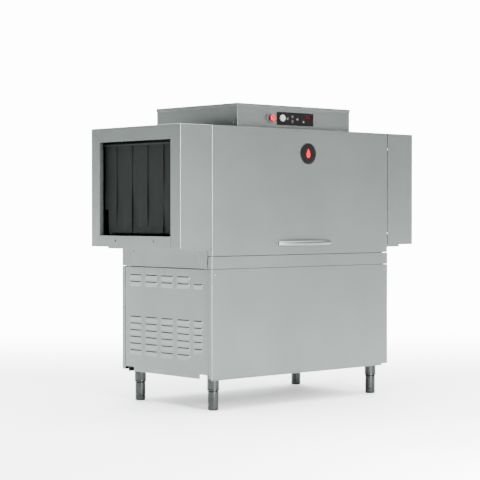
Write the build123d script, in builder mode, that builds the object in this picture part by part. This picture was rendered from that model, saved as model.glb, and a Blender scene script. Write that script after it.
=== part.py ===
from build123d import *
import os

# Rack-conveyor dishwasher, in millimetres. Racks travel along +X, the front is -Y, up is +Z.
# The origin is on the floor, under the middle of the machine.

# ------------------------------------------------------------------ driving dimensions
LENGTH = 1700            # from hood face to hood face, along the racks' travel
DEPTH = 730              # from the front panels to the back panels
HOOD_LENGTH = 205        # each end hood, beyond the body
FRAME_BOTTOM = 190       # underside of the base frame above the floor
FRAME_HEIGHT = 586       # base frame, bottom rail to top rail
TUNNEL_HEIGHT = 661      # wash tunnel above its deck
BOX_HEIGHT = 125         # control box with its lid, on the tunnel roof
BOX_WIDTH = 824          # control box, along X
BOX_SETBACK = 70         # control box behind the front panels
HANDLE_REACH = 45        # door handle in front of the front panels
REAR_REACH = HANDLE_REACH  # drain outlet behind the back panels, equal to keep the origin central

SHEET = 2                # stainless sheet of panels, hoods and casings
DECK = 3                 # deck plate on the base frame
TRAY_DEPTH = 25          # folded depth of the front and rear panels
PANEL_SPACE = 30         # from an outer panel face to the frame
PANEL_GAP = 2            # between neighbouring panels
WELD_GAP = 0.2           # between separate bars of a frame, where the weld lies
SLIDE_GAP = 0.3          # between sliding pieces
TURN_GAP = 0.05          # around a shaft, stem or pin
EDGE_RADIUS = 4          # outer fold of a panel

MOUTH_MARGIN = 74        # hood face beside and above the rack mouth
MOUTH_RISE = 103         # mouth's lower edge above the deck
MOUTH_RETURN = 20        # fold around the mouth, into the hood
HOOD_RISE = 45           # hood's underside above the deck
BOLT_SPREAD = 157        # table bolts, from the middle of the machine
BOLT_RADIUS = 4.5
BOLT_DROP = 25           # table bolts below the mouth

JOINT_DROP = 62          # joint of fascia and service panel below the deck
SKIRT_DROP = 23          # lower edge of the service panel below the frame
SIDE_DROP = 6            # lower edge of the side panels below the frame

POST = 40                # square tube of the base frame
POST_WALL = 2
FOOT_INSET = 68          # leg axes inside the body's corners
SLEEVE_RADIUS = 31
SLEEVE_BOTTOM = 99
FOOT_RADIUS = 27.5
STEM_RADIUS = 10
STEM_TOP = 150

RACK_HALF = 250          # half of a standard 500 mm rack
RACK_RISE = 113          # rack's underside above the deck
CURTAIN_INSET = 35       # curtain rod behind the hood face
ROD_RADIUS = 4

# ------------------------------------------------------------------ places worked out
SIDES = ((-1, "left"), (1, "right"))
X_END = LENGTH / 2
X_BODY = X_END - HOOD_LENGTH
Y_FRONT = -DEPTH / 2
Y_BACK = DEPTH / 2
X_WALL = X_BODY - SHEET                  # inner face of the side and end walls
X_FRAME = X_WALL - PANEL_GAP             # outer face of the frame, left and right
Y_FRAME = Y_BACK - PANEL_SPACE           # outer face of the frame, front and back
FRAME_TOP = FRAME_BOTTOM + FRAME_HEIGHT
DECK_TOP = FRAME_TOP + DECK
TUNNEL_TOP = DECK_TOP + TUNNEL_HEIGHT
TOP = TUNNEL_TOP + BOX_HEIGHT
MOUTH_HALF = Y_BACK - MOUTH_MARGIN
MOUTH_BOTTOM = DECK_TOP + MOUTH_RISE
MOUTH_TOP = TUNNEL_TOP - MOUTH_MARGIN
HOOD_BOTTOM = DECK_TOP + HOOD_RISE
PANEL_JOINT = DECK_TOP - JOINT_DROP      # 1 mm gap is centred on it
PANEL_BOTTOM = FRAME_BOTTOM - SKIRT_DROP
SIDE_BOTTOM = FRAME_BOTTOM - SIDE_DROP
RACK_LEVEL = DECK_TOP + RACK_RISE
HALF_GAP = PANEL_GAP / 2
Y_SURROUND = Y_FRONT + 38                # front face of the door surround
Y_CHAMBER = MOUTH_HALF + 6               # inner face of the chamber's back wall
X_ROD = X_END - CURTAIN_INSET
Z_ROD = MOUTH_TOP - 14


# ------------------------------------------------------------------ helpers
def slab(x, y, z, mode=Mode.ADD):
    """A block that fills the spans x, y and z."""
    middle = ((x[0] + x[1]) / 2, (y[0] + y[1]) / 2, (z[0] + z[1]) / 2)
    with Locations(middle):
        Box(abs(x[1] - x[0]), abs(y[1] - y[0]), abs(z[1] - z[0]), mode=mode)


def rod(start, direction, radius, length, mode=Mode.ADD):
    """A round bar from a point, along a direction."""
    with Locations(Plane(start, z_dir=direction)):
        Cylinder(radius, length, align=(Align.CENTER, Align.CENTER, Align.MIN), mode=mode)


def span(side, near, far):
    """The span between two distances from the middle, on the left (-1) or the right (1)."""
    return (min(side * near, side * far), max(side * near, side * far))


def around(centre, half):
    """The span of a half width around a centre."""
    return (centre - half, centre + half)


def square_tube(x, y, z, wall, along):
    """A square tube that fills three spans, open at both ends of the span numbered along."""
    slab(x, y, z)
    bore = [s if i == along else (s[0] + wall, s[1] - wall) for i, s in enumerate((x, y, z))]
    slab(*bore, mode=Mode.SUBTRACT)


def folded_tray(x, y_face, y_open, z, wall=SHEET):
    """A sheet panel with all four edges folded back, from its face towards its open side."""
    slab(x, (y_face, y_open), z)
    inward = wall if y_open > y_face else -wall
    slab((x[0] + wall, x[1] - wall), (y_face + inward, y_open), (z[0] + wall, z[1] - wall), Mode.SUBTRACT)


def round_face_edges(builder, y_face, radius=EDGE_RADIUS):
    """Rounds the upright edges of a panel's face."""
    upright = builder.part.edges().filter_by(Axis.Z)
    fillet(upright.filter_by_position(Axis.Y, y_face - 0.1, y_face + 0.1), radius)


def pipe(points, radii, radius, wall=0, mode=Mode.ADD):
    """A round pipe or bar along straight runs with a bend at each inner point."""
    with BuildLine() as route:
        FilletPolyline(*points, radius=radii)
    path = route.line
    with BuildSketch(Plane(path @ 0, z_dir=path % 0)) as section:
        Circle(radius)
        if wall:
            Circle(radius - wall, mode=Mode.SUBTRACT)
    sweep(section.sketch, path=path, mode=mode)


def keep(builder, name):
    """Labels a finished piece and writes it."""
    builder.part.label = name
    export_step(builder.part, f"parts/{name}.step")


os.makedirs("parts", exist_ok=True)

# ------------------------------------------------------------------ base frame
POST_X = (X_FRAME - POST, X_FRAME)
POST_Y = (Y_FRAME - POST, Y_FRAME)
SKIRT = 3                                # thickness of the skirt strips
FRONT_SKIRT_BOTTOM = FRAME_BOTTOM - 36
SIDE_SKIRT_BOTTOM = FRAME_BOTTOM - 30
SKIRT_OVERLAP = 30                       # front and rear skirt on the bottom rail
SKIRT_END = 67                           # side skirt stops short of the frame's corners

with BuildPart() as base_frame:
    for side, _ in SIDES:
        for front in (-1, 1):
            square_tube(span(side, *POST_X), span(front, *POST_Y), (FRAME_BOTTOM, FRAME_TOP), POST_WALL, 2)
        for z in (FRAME_BOTTOM, FRAME_TOP - POST):
            inner_x = POST_X[0] - WELD_GAP
            inner_y = POST_Y[0] - WELD_GAP
            square_tube((-inner_x, inner_x), span(side, *POST_Y), (z, z + POST), POST_WALL, 0)
            square_tube(span(side, *POST_X), (-inner_y, inner_y), (z, z + POST), POST_WALL, 1)
        slab(around(0, X_FRAME - 16), span(side, Y_FRAME + WELD_GAP, Y_FRAME + SKIRT),
             (FRONT_SKIRT_BOTTOM, FRAME_BOTTOM + SKIRT_OVERLAP))
        slab(span(side, X_FRAME - SKIRT, X_FRAME), around(3, Y_FRAME - SKIRT_END),
             (SIDE_SKIRT_BOTTOM, FRAME_BOTTOM - WELD_GAP))
keep(base_frame, "base_frame")

# ------------------------------------------------------------------ legs
LEG_X = X_BODY - FOOT_INSET
LEG_Y = Y_BACK - FOOT_INSET
PLATE_HALF = 35
PLATE_THICK = 6
INSERT_HEIGHT = 20

with BuildPart() as leg_sleeves:
    with BuildSketch(Plane.XY.offset(FRAME_BOTTOM - PLATE_THICK)):
        with GridLocations(2 * LEG_X, 2 * LEG_Y, 2, 2):
            RectangleRounded(2 * PLATE_HALF, 2 * PLATE_HALF, 6)
    extrude(amount=PLATE_THICK)
    with BuildSketch(Plane.XY.offset(SLEEVE_BOTTOM)):
        with GridLocations(2 * LEG_X, 2 * LEG_Y, 2, 2):
            Circle(SLEEVE_RADIUS)
            Circle(SLEEVE_RADIUS - SHEET, mode=Mode.SUBTRACT)
    extrude(amount=FRAME_BOTTOM - PLATE_THICK - SLEEVE_BOTTOM)
    with BuildSketch(Plane.XY.offset(SLEEVE_BOTTOM)):
        with GridLocations(2 * LEG_X, 2 * LEG_Y, 2, 2):
            Circle(SLEEVE_RADIUS - SHEET)
            Circle(STEM_RADIUS + TURN_GAP, mode=Mode.SUBTRACT)
    extrude(amount=INSERT_HEIGHT)
keep(leg_sleeves, "leg_sleeves")

FOOT_TOP = SLEEVE_BOTTOM - 1             # the foot's shoulder stops under the sleeve
FOOT_WALL = 4
FOOT_FLOOR = 10
for side, side_name in SIDES:
    for front, front_name in ((-1, "front"), (1, "rear")):
        with BuildPart() as foot:
            with Locations((side * LEG_X, front * LEG_Y, 0)):
                Cylinder(FOOT_RADIUS, FOOT_TOP, align=(Align.CENTER, Align.CENTER, Align.MIN))
            fillet(foot.part.edges().group_by(Axis.Z)[0], 5)
            fillet(foot.part.edges().group_by(Axis.Z)[-1], 2)
            with Locations((side * LEG_X, front * LEG_Y, FOOT_FLOOR)):
                Cylinder(FOOT_RADIUS - FOOT_WALL, FOOT_TOP, mode=Mode.SUBTRACT,
                         align=(Align.CENTER, Align.CENTER, Align.MIN))
                Cylinder(STEM_RADIUS, STEM_TOP - FOOT_FLOOR, align=(Align.CENTER, Align.CENTER, Align.MIN))
        keep(foot, f"foot_{front_name}_{side_name}")

# ------------------------------------------------------------------ lower panels
FACE_OPEN = Y_FRONT + TRAY_DEPTH
with BuildPart() as service_panel:
    folded_tray((-X_BODY, X_BODY), Y_FRONT, FACE_OPEN, (PANEL_BOTTOM, PANEL_JOINT - HALF_GAP))
    round_face_edges(service_panel, Y_FRONT)
keep(service_panel, "service_panel")

with BuildPart() as front_fascia:
    folded_tray((-X_BODY, X_BODY), Y_FRONT, FACE_OPEN, (PANEL_JOINT + HALF_GAP, DECK_TOP + 1))
    round_face_edges(front_fascia, Y_FRONT)
keep(front_fascia, "front_fascia")

SIDE_Y = (FACE_OPEN + PANEL_GAP, Y_BACK - TRAY_DEPTH - PANEL_GAP)
LOUVRE_OUT = 7
LOUVRE_TALL = 24
LOUVRE_SKIN = 1.5
LOUVRE_PITCH = 35.6                      # rows of louvres
LOUVRE_COLUMN = 131                      # columns of louvres
LOUVRE_LONG = 97
LOUVRE_SHORT = 67                        # foremost column
UPPER_ROWS = (0, 1)
LOWER_ROWS = (0, 1, 2, 3, 4, 5)
UPPER_START = PANEL_JOINT - 45
LOWER_START = SIDE_BOTTOM + 267
LOUVRE_REAR = SIDE_Y[1] - 89             # middle of the rearmost column
LOUVRE_COLUMNS = 5
APRON_THICK = 1.5
APRON_Y = (Y_FRONT + 77, Y_FRONT + 645)
APRON_TOP = HOOD_BOTTOM - 14


def louvre(side, length):
    """One pressed louvre: a sloping hood, open along its upper edge, with closed ends."""
    with BuildPart(mode=Mode.PRIVATE) as hood:
        with BuildSketch(Plane.XZ.offset(-length / 2)):
            Polygon((0, -LOUVRE_TALL), (side * LOUVRE_OUT, 0), (0, 0), align=None)
        extrude(amount=length)
        with BuildSketch(Plane.XZ.offset(LOUVRE_SKIN - length / 2)):
            Polygon((0, 4 - LOUVRE_TALL), (side * (LOUVRE_OUT - LOUVRE_SKIN), 0), (0, 0), align=None)
        extrude(amount=length - 2 * LOUVRE_SKIN, mode=Mode.SUBTRACT)
    return hood.part


louvre_places = []
for column in range(LOUVRE_COLUMNS):
    foremost = column == LOUVRE_COLUMNS - 1
    length = LOUVRE_SHORT if foremost else LOUVRE_LONG
    middle = LOUVRE_REAR - column * LOUVRE_COLUMN + (LOUVRE_LONG - length) / 2
    rows = [UPPER_START - row * LOUVRE_PITCH for row in UPPER_ROWS if row or not foremost]
    rows += [LOWER_START - row * LOUVRE_PITCH for row in LOWER_ROWS if row < 5 or not foremost]
    louvre_places += [(middle, z, length) for z in rows]

for side, side_name in SIDES:
    with BuildPart() as side_panel:
        slab(span(side, X_WALL, X_BODY), SIDE_Y, (SIDE_BOTTOM, PANEL_JOINT - HALF_GAP))
        for length in (LOUVRE_LONG, LOUVRE_SHORT):
            places = [(side * X_BODY, y, z) for y, z, long in louvre_places if long == length]
            with Locations(*places):
                Box(3 * SHEET, length - 2 * LOUVRE_SKIN, LOUVRE_TALL - 5, mode=Mode.SUBTRACT,
                    align=(Align.CENTER, Align.CENTER, Align.MAX))
                add(louvre(side, length))
        slab(span(side, X_BODY, X_BODY + APRON_THICK), APRON_Y, (PANEL_JOINT + PANEL_GAP, APRON_TOP))
    keep(side_panel, f"{side_name}_side_panel")

# ------------------------------------------------------------------ rear panel and tunnel casing
DRAIN_X = 96 - X_FRAME
DRAIN_Z = DECK_TOP - 309
DRAIN_RADIUS = 25
INLET_X = X_FRAME - 221
INLET_Z = DECK_TOP - 179
INLET_RADIUS = 13.2                      # G 3/4 inlet thread
INLET_LENGTH = 32
PASS_GAP = 2                             # around a pipe through a panel

with BuildPart() as rear_panel:
    folded_tray((-X_BODY, X_BODY), Y_BACK, Y_BACK - TRAY_DEPTH, (PANEL_BOTTOM, PANEL_JOINT + HALF_GAP))
    rod((DRAIN_X, Y_BACK + 1, DRAIN_Z), (0, -1, 0), DRAIN_RADIUS + PASS_GAP, 2 * SHEET, Mode.SUBTRACT)
    rod((INLET_X, Y_BACK + 1, INLET_Z), (0, -1, 0), INLET_RADIUS + PASS_GAP, 2 * SHEET, Mode.SUBTRACT)
keep(rear_panel, "rear_panel")

CABLE_HOLE = (300, 200)
CABLE_HOLE_RADIUS = 30
CASING_BOTTOM = PANEL_JOINT + 3

with BuildPart() as tunnel_casing:
    slab((-X_BODY, X_BODY), (Y_BACK - SHEET, Y_BACK), (CASING_BOTTOM, TUNNEL_TOP))
    slab((-X_BODY, X_BODY), (Y_SURROUND, Y_BACK), (TUNNEL_TOP - SHEET, TUNNEL_TOP))
    rod((*CABLE_HOLE, TUNNEL_TOP + 1), (0, 0, -1), CABLE_HOLE_RADIUS, 2 * SHEET, Mode.SUBTRACT)
keep(tunnel_casing, "tunnel_casing")

# ------------------------------------------------------------------ end hoods
GROOVE = 1.4
TRAY_LENGTH = 100
TRAY_HEIGHT = 12
for side, side_name in SIDES:
    with BuildPart() as hood:
        outer_x = span(side, X_BODY, X_END)
        slab(outer_x, (Y_FRONT, Y_BACK), (HOOD_BOTTOM, TUNNEL_TOP))
        fillet(hood.part.edges().filter_by(Axis.X).group_by(Axis.Z)[-1], EDGE_RADIUS)
        fillet(hood.part.edges().filter_by(Axis.Z).filter_by_position(
            Axis.X, side * X_END - 0.1, side * X_END + 0.1), EDGE_RADIUS)
        slab(span(side, X_BODY - 1, X_END - SHEET), (Y_FRONT + SHEET, Y_BACK - SHEET),
             (HOOD_BOTTOM + SHEET, TUNNEL_TOP - SHEET), Mode.SUBTRACT)
        slab(span(side, X_END - SHEET - MOUTH_RETURN, X_END - SHEET), around(0, MOUTH_HALF + SHEET),
             (MOUTH_BOTTOM - SHEET, MOUTH_TOP + SHEET))
        slab(span(side, X_END - 2 * MOUTH_RETURN, X_END + 1), around(0, MOUTH_HALF),
             (MOUTH_BOTTOM, MOUTH_TOP), Mode.SUBTRACT)
        for front in (-1, 1):
            rod((side * (X_END + 1), front * BOLT_SPREAD, MOUTH_BOTTOM - BOLT_DROP), (-side, 0, 0),
                BOLT_RADIUS, 2 * SHEET, Mode.SUBTRACT)
            joint_y = front * (MOUTH_HALF + MOUTH_MARGIN / 2)
            slab(span(side, X_END - GROOVE / 2, X_END + 1), around(front * MOUTH_HALF, GROOVE / 2),
                 (HOOD_BOTTOM + SHEET, MOUTH_BOTTOM), Mode.SUBTRACT)
            with BuildSketch(Plane((side * (X_END - GROOVE / 2), joint_y, MOUTH_TOP + MOUTH_MARGIN / 2),
                                   x_dir=(0, front, 1), z_dir=(side, 0, 0))) as mitre:
                Rectangle(MOUTH_MARGIN * 2 ** 0.5 - 4 * GROOVE, GROOVE)
            extrude(mitre.sketch, amount=GROOVE, mode=Mode.SUBTRACT)
        rod((side * X_ROD, Y_FRONT + SHEET, Z_ROD), (0, 1, 0), ROD_RADIUS, DEPTH - 2 * SHEET)
        tray_x = span(side, X_BODY, X_BODY + TRAY_LENGTH)
        tray_z = (HOOD_BOTTOM - TRAY_HEIGHT, HOOD_BOTTOM)
        slab(tray_x, around(0, Y_BACK - 7), tray_z)
        slab((tray_x[0] + SHEET, tray_x[1] - SHEET), around(0, Y_BACK - 7 - SHEET),
             (tray_z[0] + SHEET, tray_z[1]), Mode.SUBTRACT)
    keep(hood, f"{side_name}_hood")

# ------------------------------------------------------------------ wash chamber
CHAMBER_TOP = TUNNEL_TOP - 64
ROOF_FRONT = Y_SURROUND + 37
WALL_Y = (Y_SURROUND, Y_BACK - SHEET)

with BuildPart() as chamber_shell:
    slab((-X_FRAME, X_FRAME), (Y_CHAMBER, Y_CHAMBER + SHEET), (DECK_TOP, CHAMBER_TOP))
    slab((-X_FRAME, X_FRAME), (ROOF_FRONT, Y_CHAMBER + SHEET), (CHAMBER_TOP - SHEET, CHAMBER_TOP))
    for side, _ in SIDES:
        slab(span(side, X_WALL, X_BODY), WALL_Y, (CASING_BOTTOM, TUNNEL_TOP - SHEET))
        slab(span(side, X_WALL - 1, X_BODY + 1), around(0, MOUTH_HALF), (MOUTH_BOTTOM, MOUTH_TOP),
             Mode.SUBTRACT)
keep(chamber_shell, "chamber_shell")

# ------------------------------------------------------------------ door surround with its guides
COLUMN_WIDTH = 46
LIP = 12                                 # sealing lip beside the opening
COLUMN_X = (X_FRAME - COLUMN_WIDTH, X_FRAME)
COLUMN_TOP = CHAMBER_TOP - SHEET - 2
OPENING_HALF = COLUMN_X[0] - LIP
SILL_TOP = MOUTH_BOTTOM - 10
HEADER_BOTTOM = MOUTH_TOP
HEADER_TOP = TUNNEL_TOP - 4
BEAM_DEPTH = 27
GUIDE_X = COLUMN_X[0] + 30               # middle of the guide rails
GUIDE_HALF = 12
GUIDE_Y = (Y_SURROUND + 14, Y_SURROUND + 34)
GUIDE_TOP = TUNNEL_TOP - 4
SLOT_HALF = 5

with BuildPart() as door_surround:
    for side, _ in SIDES:
        slab(span(side, *COLUMN_X), (Y_SURROUND, GUIDE_Y[1] + SHEET), (DECK_TOP, COLUMN_TOP))
        slab(span(side, COLUMN_X[0] + SHEET, COLUMN_X[1] - SHEET), (Y_SURROUND - 1, GUIDE_Y[1]),
             (DECK_TOP, COLUMN_TOP), Mode.SUBTRACT)
        slab(span(side, OPENING_HALF, COLUMN_X[0]), (Y_SURROUND, Y_SURROUND + SHEET),
             (DECK_TOP, COLUMN_TOP))
        guide = around(side * GUIDE_X, GUIDE_HALF)
        slab(guide, GUIDE_Y, (DECK_TOP + 5, GUIDE_TOP))
        slab((guide[0] + SHEET, guide[1] - SHEET), (GUIDE_Y[0] + SHEET, GUIDE_Y[1] - SHEET),
             (DECK_TOP, GUIDE_TOP + 1), Mode.SUBTRACT)
        slab(around(side * GUIDE_X, SLOT_HALF), (GUIDE_Y[0] - 1, GUIDE_Y[0] + SHEET + 1),
             (DECK_TOP, GUIDE_TOP + 1), Mode.SUBTRACT)
    beam_half = OPENING_HALF - WELD_GAP
    folded_tray((-beam_half, beam_half), Y_SURROUND, Y_SURROUND + BEAM_DEPTH, (DECK_TOP, SILL_TOP))
    folded_tray((-beam_half, beam_half), Y_SURROUND, Y_SURROUND + BEAM_DEPTH, (HEADER_BOTTOM, HEADER_TOP))
keep(door_surround, "door_surround")

# ------------------------------------------------------------------ lifting door
DOOR_HALF = X_BODY - PANEL_GAP
DOOR_BOTTOM = DECK_TOP + 4
DOOR_BACK = Y_FRONT + 35
SEAL_DEPTH = 2.5
DOOR_TRAVEL = TUNNEL_TOP - DECK_TOP - 211
LOWER_SLIDERS = (DECK_TOP + 21, DECK_TOP + 61)
UPPER_SLIDERS = (DECK_TOP + 161, DECK_TOP + 201)
CABLE_X = COLUMN_X[0] + 8
CABLE_RADIUS = 1.5
CABLE_GROOVE = 22.8                      # cable's middle line on its pulleys
CABLE_BOTTOM = DECK_TOP + 82
PULLEY_Y = Y_SURROUND + 40.8             # front pulleys
CABLE_Y = PULLEY_Y - CABLE_GROOVE
CABLE_LEAD = 5                           # straight cable below the front pulleys, part of the rear stretch
LUG_HEIGHT = 16

with BuildPart() as door_skin:
    folded_tray((-DOOR_HALF, DOOR_HALF), Y_FRONT, DOOR_BACK - SHEET, (DOOR_BOTTOM, TUNNEL_TOP))
    round_face_edges(door_skin, Y_FRONT)
keep(door_skin, "door_skin")

with BuildPart() as door_liner:
    slab((-DOOR_HALF, DOOR_HALF), (DOOR_BACK - SHEET, DOOR_BACK), (DOOR_BOTTOM, TUNNEL_TOP))
    for side, _ in SIDES:
        lug = around(side * CABLE_X, 5)
        slab(lug, (DOOR_BACK, CABLE_Y + 5), (CABLE_BOTTOM - LUG_HEIGHT, CABLE_BOTTOM))
keep(door_liner, "door_liner")

HANDLE_HALF = 184                        # middle line where it meets the door, nearly
HANDLE_Z = DECK_TOP + 62
HANDLE_DEPTH = 22                        # oval tube, front to back
HANDLE_HEIGHT = 30
HANDLE_WALL = 2
HANDLE_ROOT = 12                         # tube drawn into the door before it is cut flush

with BuildPart() as door_handle:
    apex = Y_FRONT - HANDLE_REACH + HANDLE_DEPTH / 2
    with BuildLine() as bow:
        ThreePointArc((-HANDLE_HALF - HANDLE_ROOT, Y_FRONT + 4, HANDLE_Z), (0, apex, HANDLE_Z),
                      (HANDLE_HALF + HANDLE_ROOT, Y_FRONT + 4, HANDLE_Z))
    with BuildSketch(Plane(bow.line @ 0, x_dir=(0, 0, 1), z_dir=bow.line % 0)):
        Ellipse(HANDLE_HEIGHT / 2, HANDLE_DEPTH / 2)
        Ellipse(HANDLE_HEIGHT / 2 - HANDLE_WALL, HANDLE_DEPTH / 2 - HANDLE_WALL, mode=Mode.SUBTRACT)
    sweep(path=bow.line)
    split(bisect_by=Plane.XZ.offset(-Y_FRONT), keep=Keep.TOP)
keep(door_handle, "door_handle")

with BuildPart() as door_seal:
    seal_y = (DOOR_BACK, DOOR_BACK + SEAL_DEPTH)
    slab(around(0, COLUMN_X[0]), seal_y, (SILL_TOP - LIP, HEADER_BOTTOM + LIP))
    slab(around(0, OPENING_HALF), seal_y, (SILL_TOP, HEADER_BOTTOM), Mode.SUBTRACT)
keep(door_seal, "door_seal")

HEAD_HALF = GUIDE_HALF - SHEET - SLIDE_GAP
NECK_HALF = SLOT_HALF - SLIDE_GAP
with BuildPart() as door_sliders:
    for side, _ in SIDES:
        for z in (LOWER_SLIDERS, UPPER_SLIDERS):
            slab(around(side * GUIDE_X, HEAD_HALF), (GUIDE_Y[0] + SHEET + 1, GUIDE_Y[1] - SHEET - 1), z)
            slab(around(side * GUIDE_X, NECK_HALF), (DOOR_BACK, GUIDE_Y[0] + SHEET + 1), z)
keep(door_sliders, "door_sliders")

BADGE_X = 28
BADGE_Z = TUNNEL_TOP - 128
BADGE_RADIUS = 57
BADGE_THICK = 3
with BuildPart() as door_badge:
    rod((BADGE_X, Y_FRONT, BADGE_Z), (0, -1, 0), BADGE_RADIUS, BADGE_THICK)
    fillet(door_badge.part.edges().group_by(Axis.Y)[0], 1)
keep(door_badge, "door_badge")

# ------------------------------------------------------------------ counterweight, cables and pulleys
WEIGHT_X = X_FRAME - 21
WEIGHT_Y = (Y_CHAMBER + 12, Y_BACK - 12)
WEIGHT_Z = (TUNNEL_TOP - 150, TUNNEL_TOP - 90)
REAR_PULLEY_Y = (WEIGHT_Y[0] + WEIGHT_Y[1]) / 2 - CABLE_GROOVE
PULLEY_Z = TUNNEL_TOP - 32
PULLEY_RADIUS = 25
PULLEY_HALF = 7
GROOVE_RADIUS = 21
SHAFT_RADIUS = 6
BEARING_X = (COLUMN_X[0] - 23, COLUMN_X[0] - 7)
BEARING_HALF = 12

with BuildPart() as counterweight:
    slab(around(0, WEIGHT_X), WEIGHT_Y, WEIGHT_Z)
    fillet(counterweight.part.edges().filter_by(Axis.X), 3)
keep(counterweight, "counterweight")

for name, y in (("front_pulley_shaft", PULLEY_Y), ("rear_pulley_shaft", REAR_PULLEY_Y)):
    with BuildPart() as pulley_shaft:
        shaft_half = CABLE_X + PULLEY_HALF + 2
        rod((-shaft_half, y, PULLEY_Z), (1, 0, 0), SHAFT_RADIUS, 2 * shaft_half)
        for side, _ in SIDES:
            with BuildSketch(Plane.XY.offset(PULLEY_Z)) as rim:
                with Locations((side * CABLE_X, y)):
                    Rectangle(2 * PULLEY_HALF, PULLEY_RADIUS, align=(Align.CENTER, Align.MIN))
                with Locations((side * CABLE_X, y + PULLEY_RADIUS)):
                    Rectangle(5, PULLEY_RADIUS - GROOVE_RADIUS, align=(Align.CENTER, Align.MAX),
                              mode=Mode.SUBTRACT)
            revolve(rim.sketch, axis=Axis((0, y, PULLEY_Z), (1, 0, 0)))
    keep(pulley_shaft, name)

with BuildPart() as shaft_bearings:
    for side, _ in SIDES:
        for y in (PULLEY_Y, REAR_PULLEY_Y):
            slab(span(side, *BEARING_X), around(y, BEARING_HALF), (PULLEY_Z - 18, TUNNEL_TOP - SHEET))
            rod((side * BEARING_X[0] - side, y, PULLEY_Z), (side, 0, 0), SHAFT_RADIUS + TURN_GAP,
                BEARING_X[1] - BEARING_X[0] + 2, Mode.SUBTRACT)
keep(shaft_bearings, "shaft_bearings")

with BuildPart() as front_cables:
    for side, _ in SIDES:
        rod((side * CABLE_X, CABLE_Y, CABLE_BOTTOM), (0, 0, 1), CABLE_RADIUS,
            PULLEY_Z - CABLE_LEAD - CABLE_BOTTOM)
keep(front_cables, "front_cables")

REAR_CABLE_Y = REAR_PULLEY_Y + CABLE_GROOVE
with BuildPart() as rear_cables:
    for side, _ in SIDES:
        x = side * CABLE_X
        top = PULLEY_Z + CABLE_GROOVE
        pipe([(x, CABLE_Y, PULLEY_Z - CABLE_LEAD), (x, CABLE_Y, top), (x, REAR_CABLE_Y, top),
              (x, REAR_CABLE_Y, WEIGHT_Z[1])], CABLE_GROOVE, CABLE_RADIUS)
keep(rear_cables, "rear_cables")

# ------------------------------------------------------------------ wash tank
TANK_X = (56 - X_FRAME, X_FRAME - 311)
TANK_Y = (-285, 247)
TANK_DEPTH = 239                         # below the top of the deck
TANK_BOTTOM = DECK_TOP - TANK_DEPTH
TANK_CORNER = 25
DRAIN_Y = 200
PUMP_Y = 200
PUMP_Z = FRAME_BOTTOM + 140
SUCTION_X = TANK_X[1] - 40
SUCTION_RADIUS = 25
RISER_X = (TANK_X[1] - 170, TANK_X[1] - 90)
RISER_Y = (Y_CHAMBER - 29, Y_CHAMBER - 3)
RINSE_X = COLUMN_X[0] - 10
RINSE_Y = Y_CHAMBER - 12
RINSE_RADIUS = 9
CRANK_X = X_FRAME - 171
SHAFT_DRIVE_RADIUS = 10

with BuildPart() as wash_tank:
    slab((-X_FRAME, X_FRAME), (Y_SURROUND, Y_CHAMBER), (FRAME_TOP, DECK_TOP))
    tank_middle = ((TANK_X[0] + TANK_X[1]) / 2, (TANK_Y[0] + TANK_Y[1]) / 2)
    tank_size = (TANK_X[1] - TANK_X[0], TANK_Y[1] - TANK_Y[0])
    with BuildSketch(Plane((*tank_middle, TANK_BOTTOM))):
        RectangleRounded(*tank_size, TANK_CORNER)
    extrude(amount=FRAME_TOP - TANK_BOTTOM)
    with BuildSketch(Plane((*tank_middle, TANK_BOTTOM + SHEET))):
        RectangleRounded(tank_size[0] - 2 * SHEET, tank_size[1] - 2 * SHEET, TANK_CORNER - SHEET)
    extrude(amount=TANK_DEPTH, mode=Mode.SUBTRACT)
    slab((RISER_X[0] - 1, RISER_X[1] + 1), (RISER_Y[0] - 1, RISER_Y[1] + 1), (FRAME_TOP - 1, DECK_TOP + 1),
         Mode.SUBTRACT)
    rod((RINSE_X, RINSE_Y, FRAME_TOP - 1), (0, 0, 1), RINSE_RADIUS + 1, 2 * DECK, Mode.SUBTRACT)
    rod((CRANK_X, 0, FRAME_TOP - 1), (0, 0, 1), SHAFT_DRIVE_RADIUS + 1, 2 * DECK, Mode.SUBTRACT)
    rod((DRAIN_X, DRAIN_Y, TANK_BOTTOM - 1), (0, 0, 1), DRAIN_RADIUS - 5, 2 * SHEET, Mode.SUBTRACT)
    rod((SUCTION_X, PUMP_Y, TANK_BOTTOM - 1), (0, 0, 1), SUCTION_RADIUS - SHEET, 2 * SHEET, Mode.SUBTRACT)
    for y in (-40, 40):
        rod((TANK_X[1] - 5, y, TANK_BOTTOM + 35), (1, 0, 0), 4.7, 10, Mode.SUBTRACT)
keep(wash_tank, "wash_tank")

TRAYS_X = (141 - X_FRAME, TANK_X[1] - 5)
TRAY_COUNT = 3
TRAY_SKIN = 2
with BuildPart() as strainer_trays:
    pitch = (TRAYS_X[1] - TRAYS_X[0]) / TRAY_COUNT
    for index in range(TRAY_COUNT):
        left = TRAYS_X[0] + index * pitch
        slab((left, left + pitch - PANEL_GAP), (TANK_Y[0] - 5, TANK_Y[1] + 7),
             (DECK_TOP, DECK_TOP + TRAY_SKIN))
        with BuildSketch(Plane((left + pitch / 2, tank_middle[1], DECK_TOP))) as slots:
            with GridLocations(30, 90, 7, 5):
                SlotOverall(70, 8, rotation=90)
        extrude(slots.sketch, amount=TRAY_SKIN, mode=Mode.SUBTRACT)
keep(strainer_trays, "strainer_trays")

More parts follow.
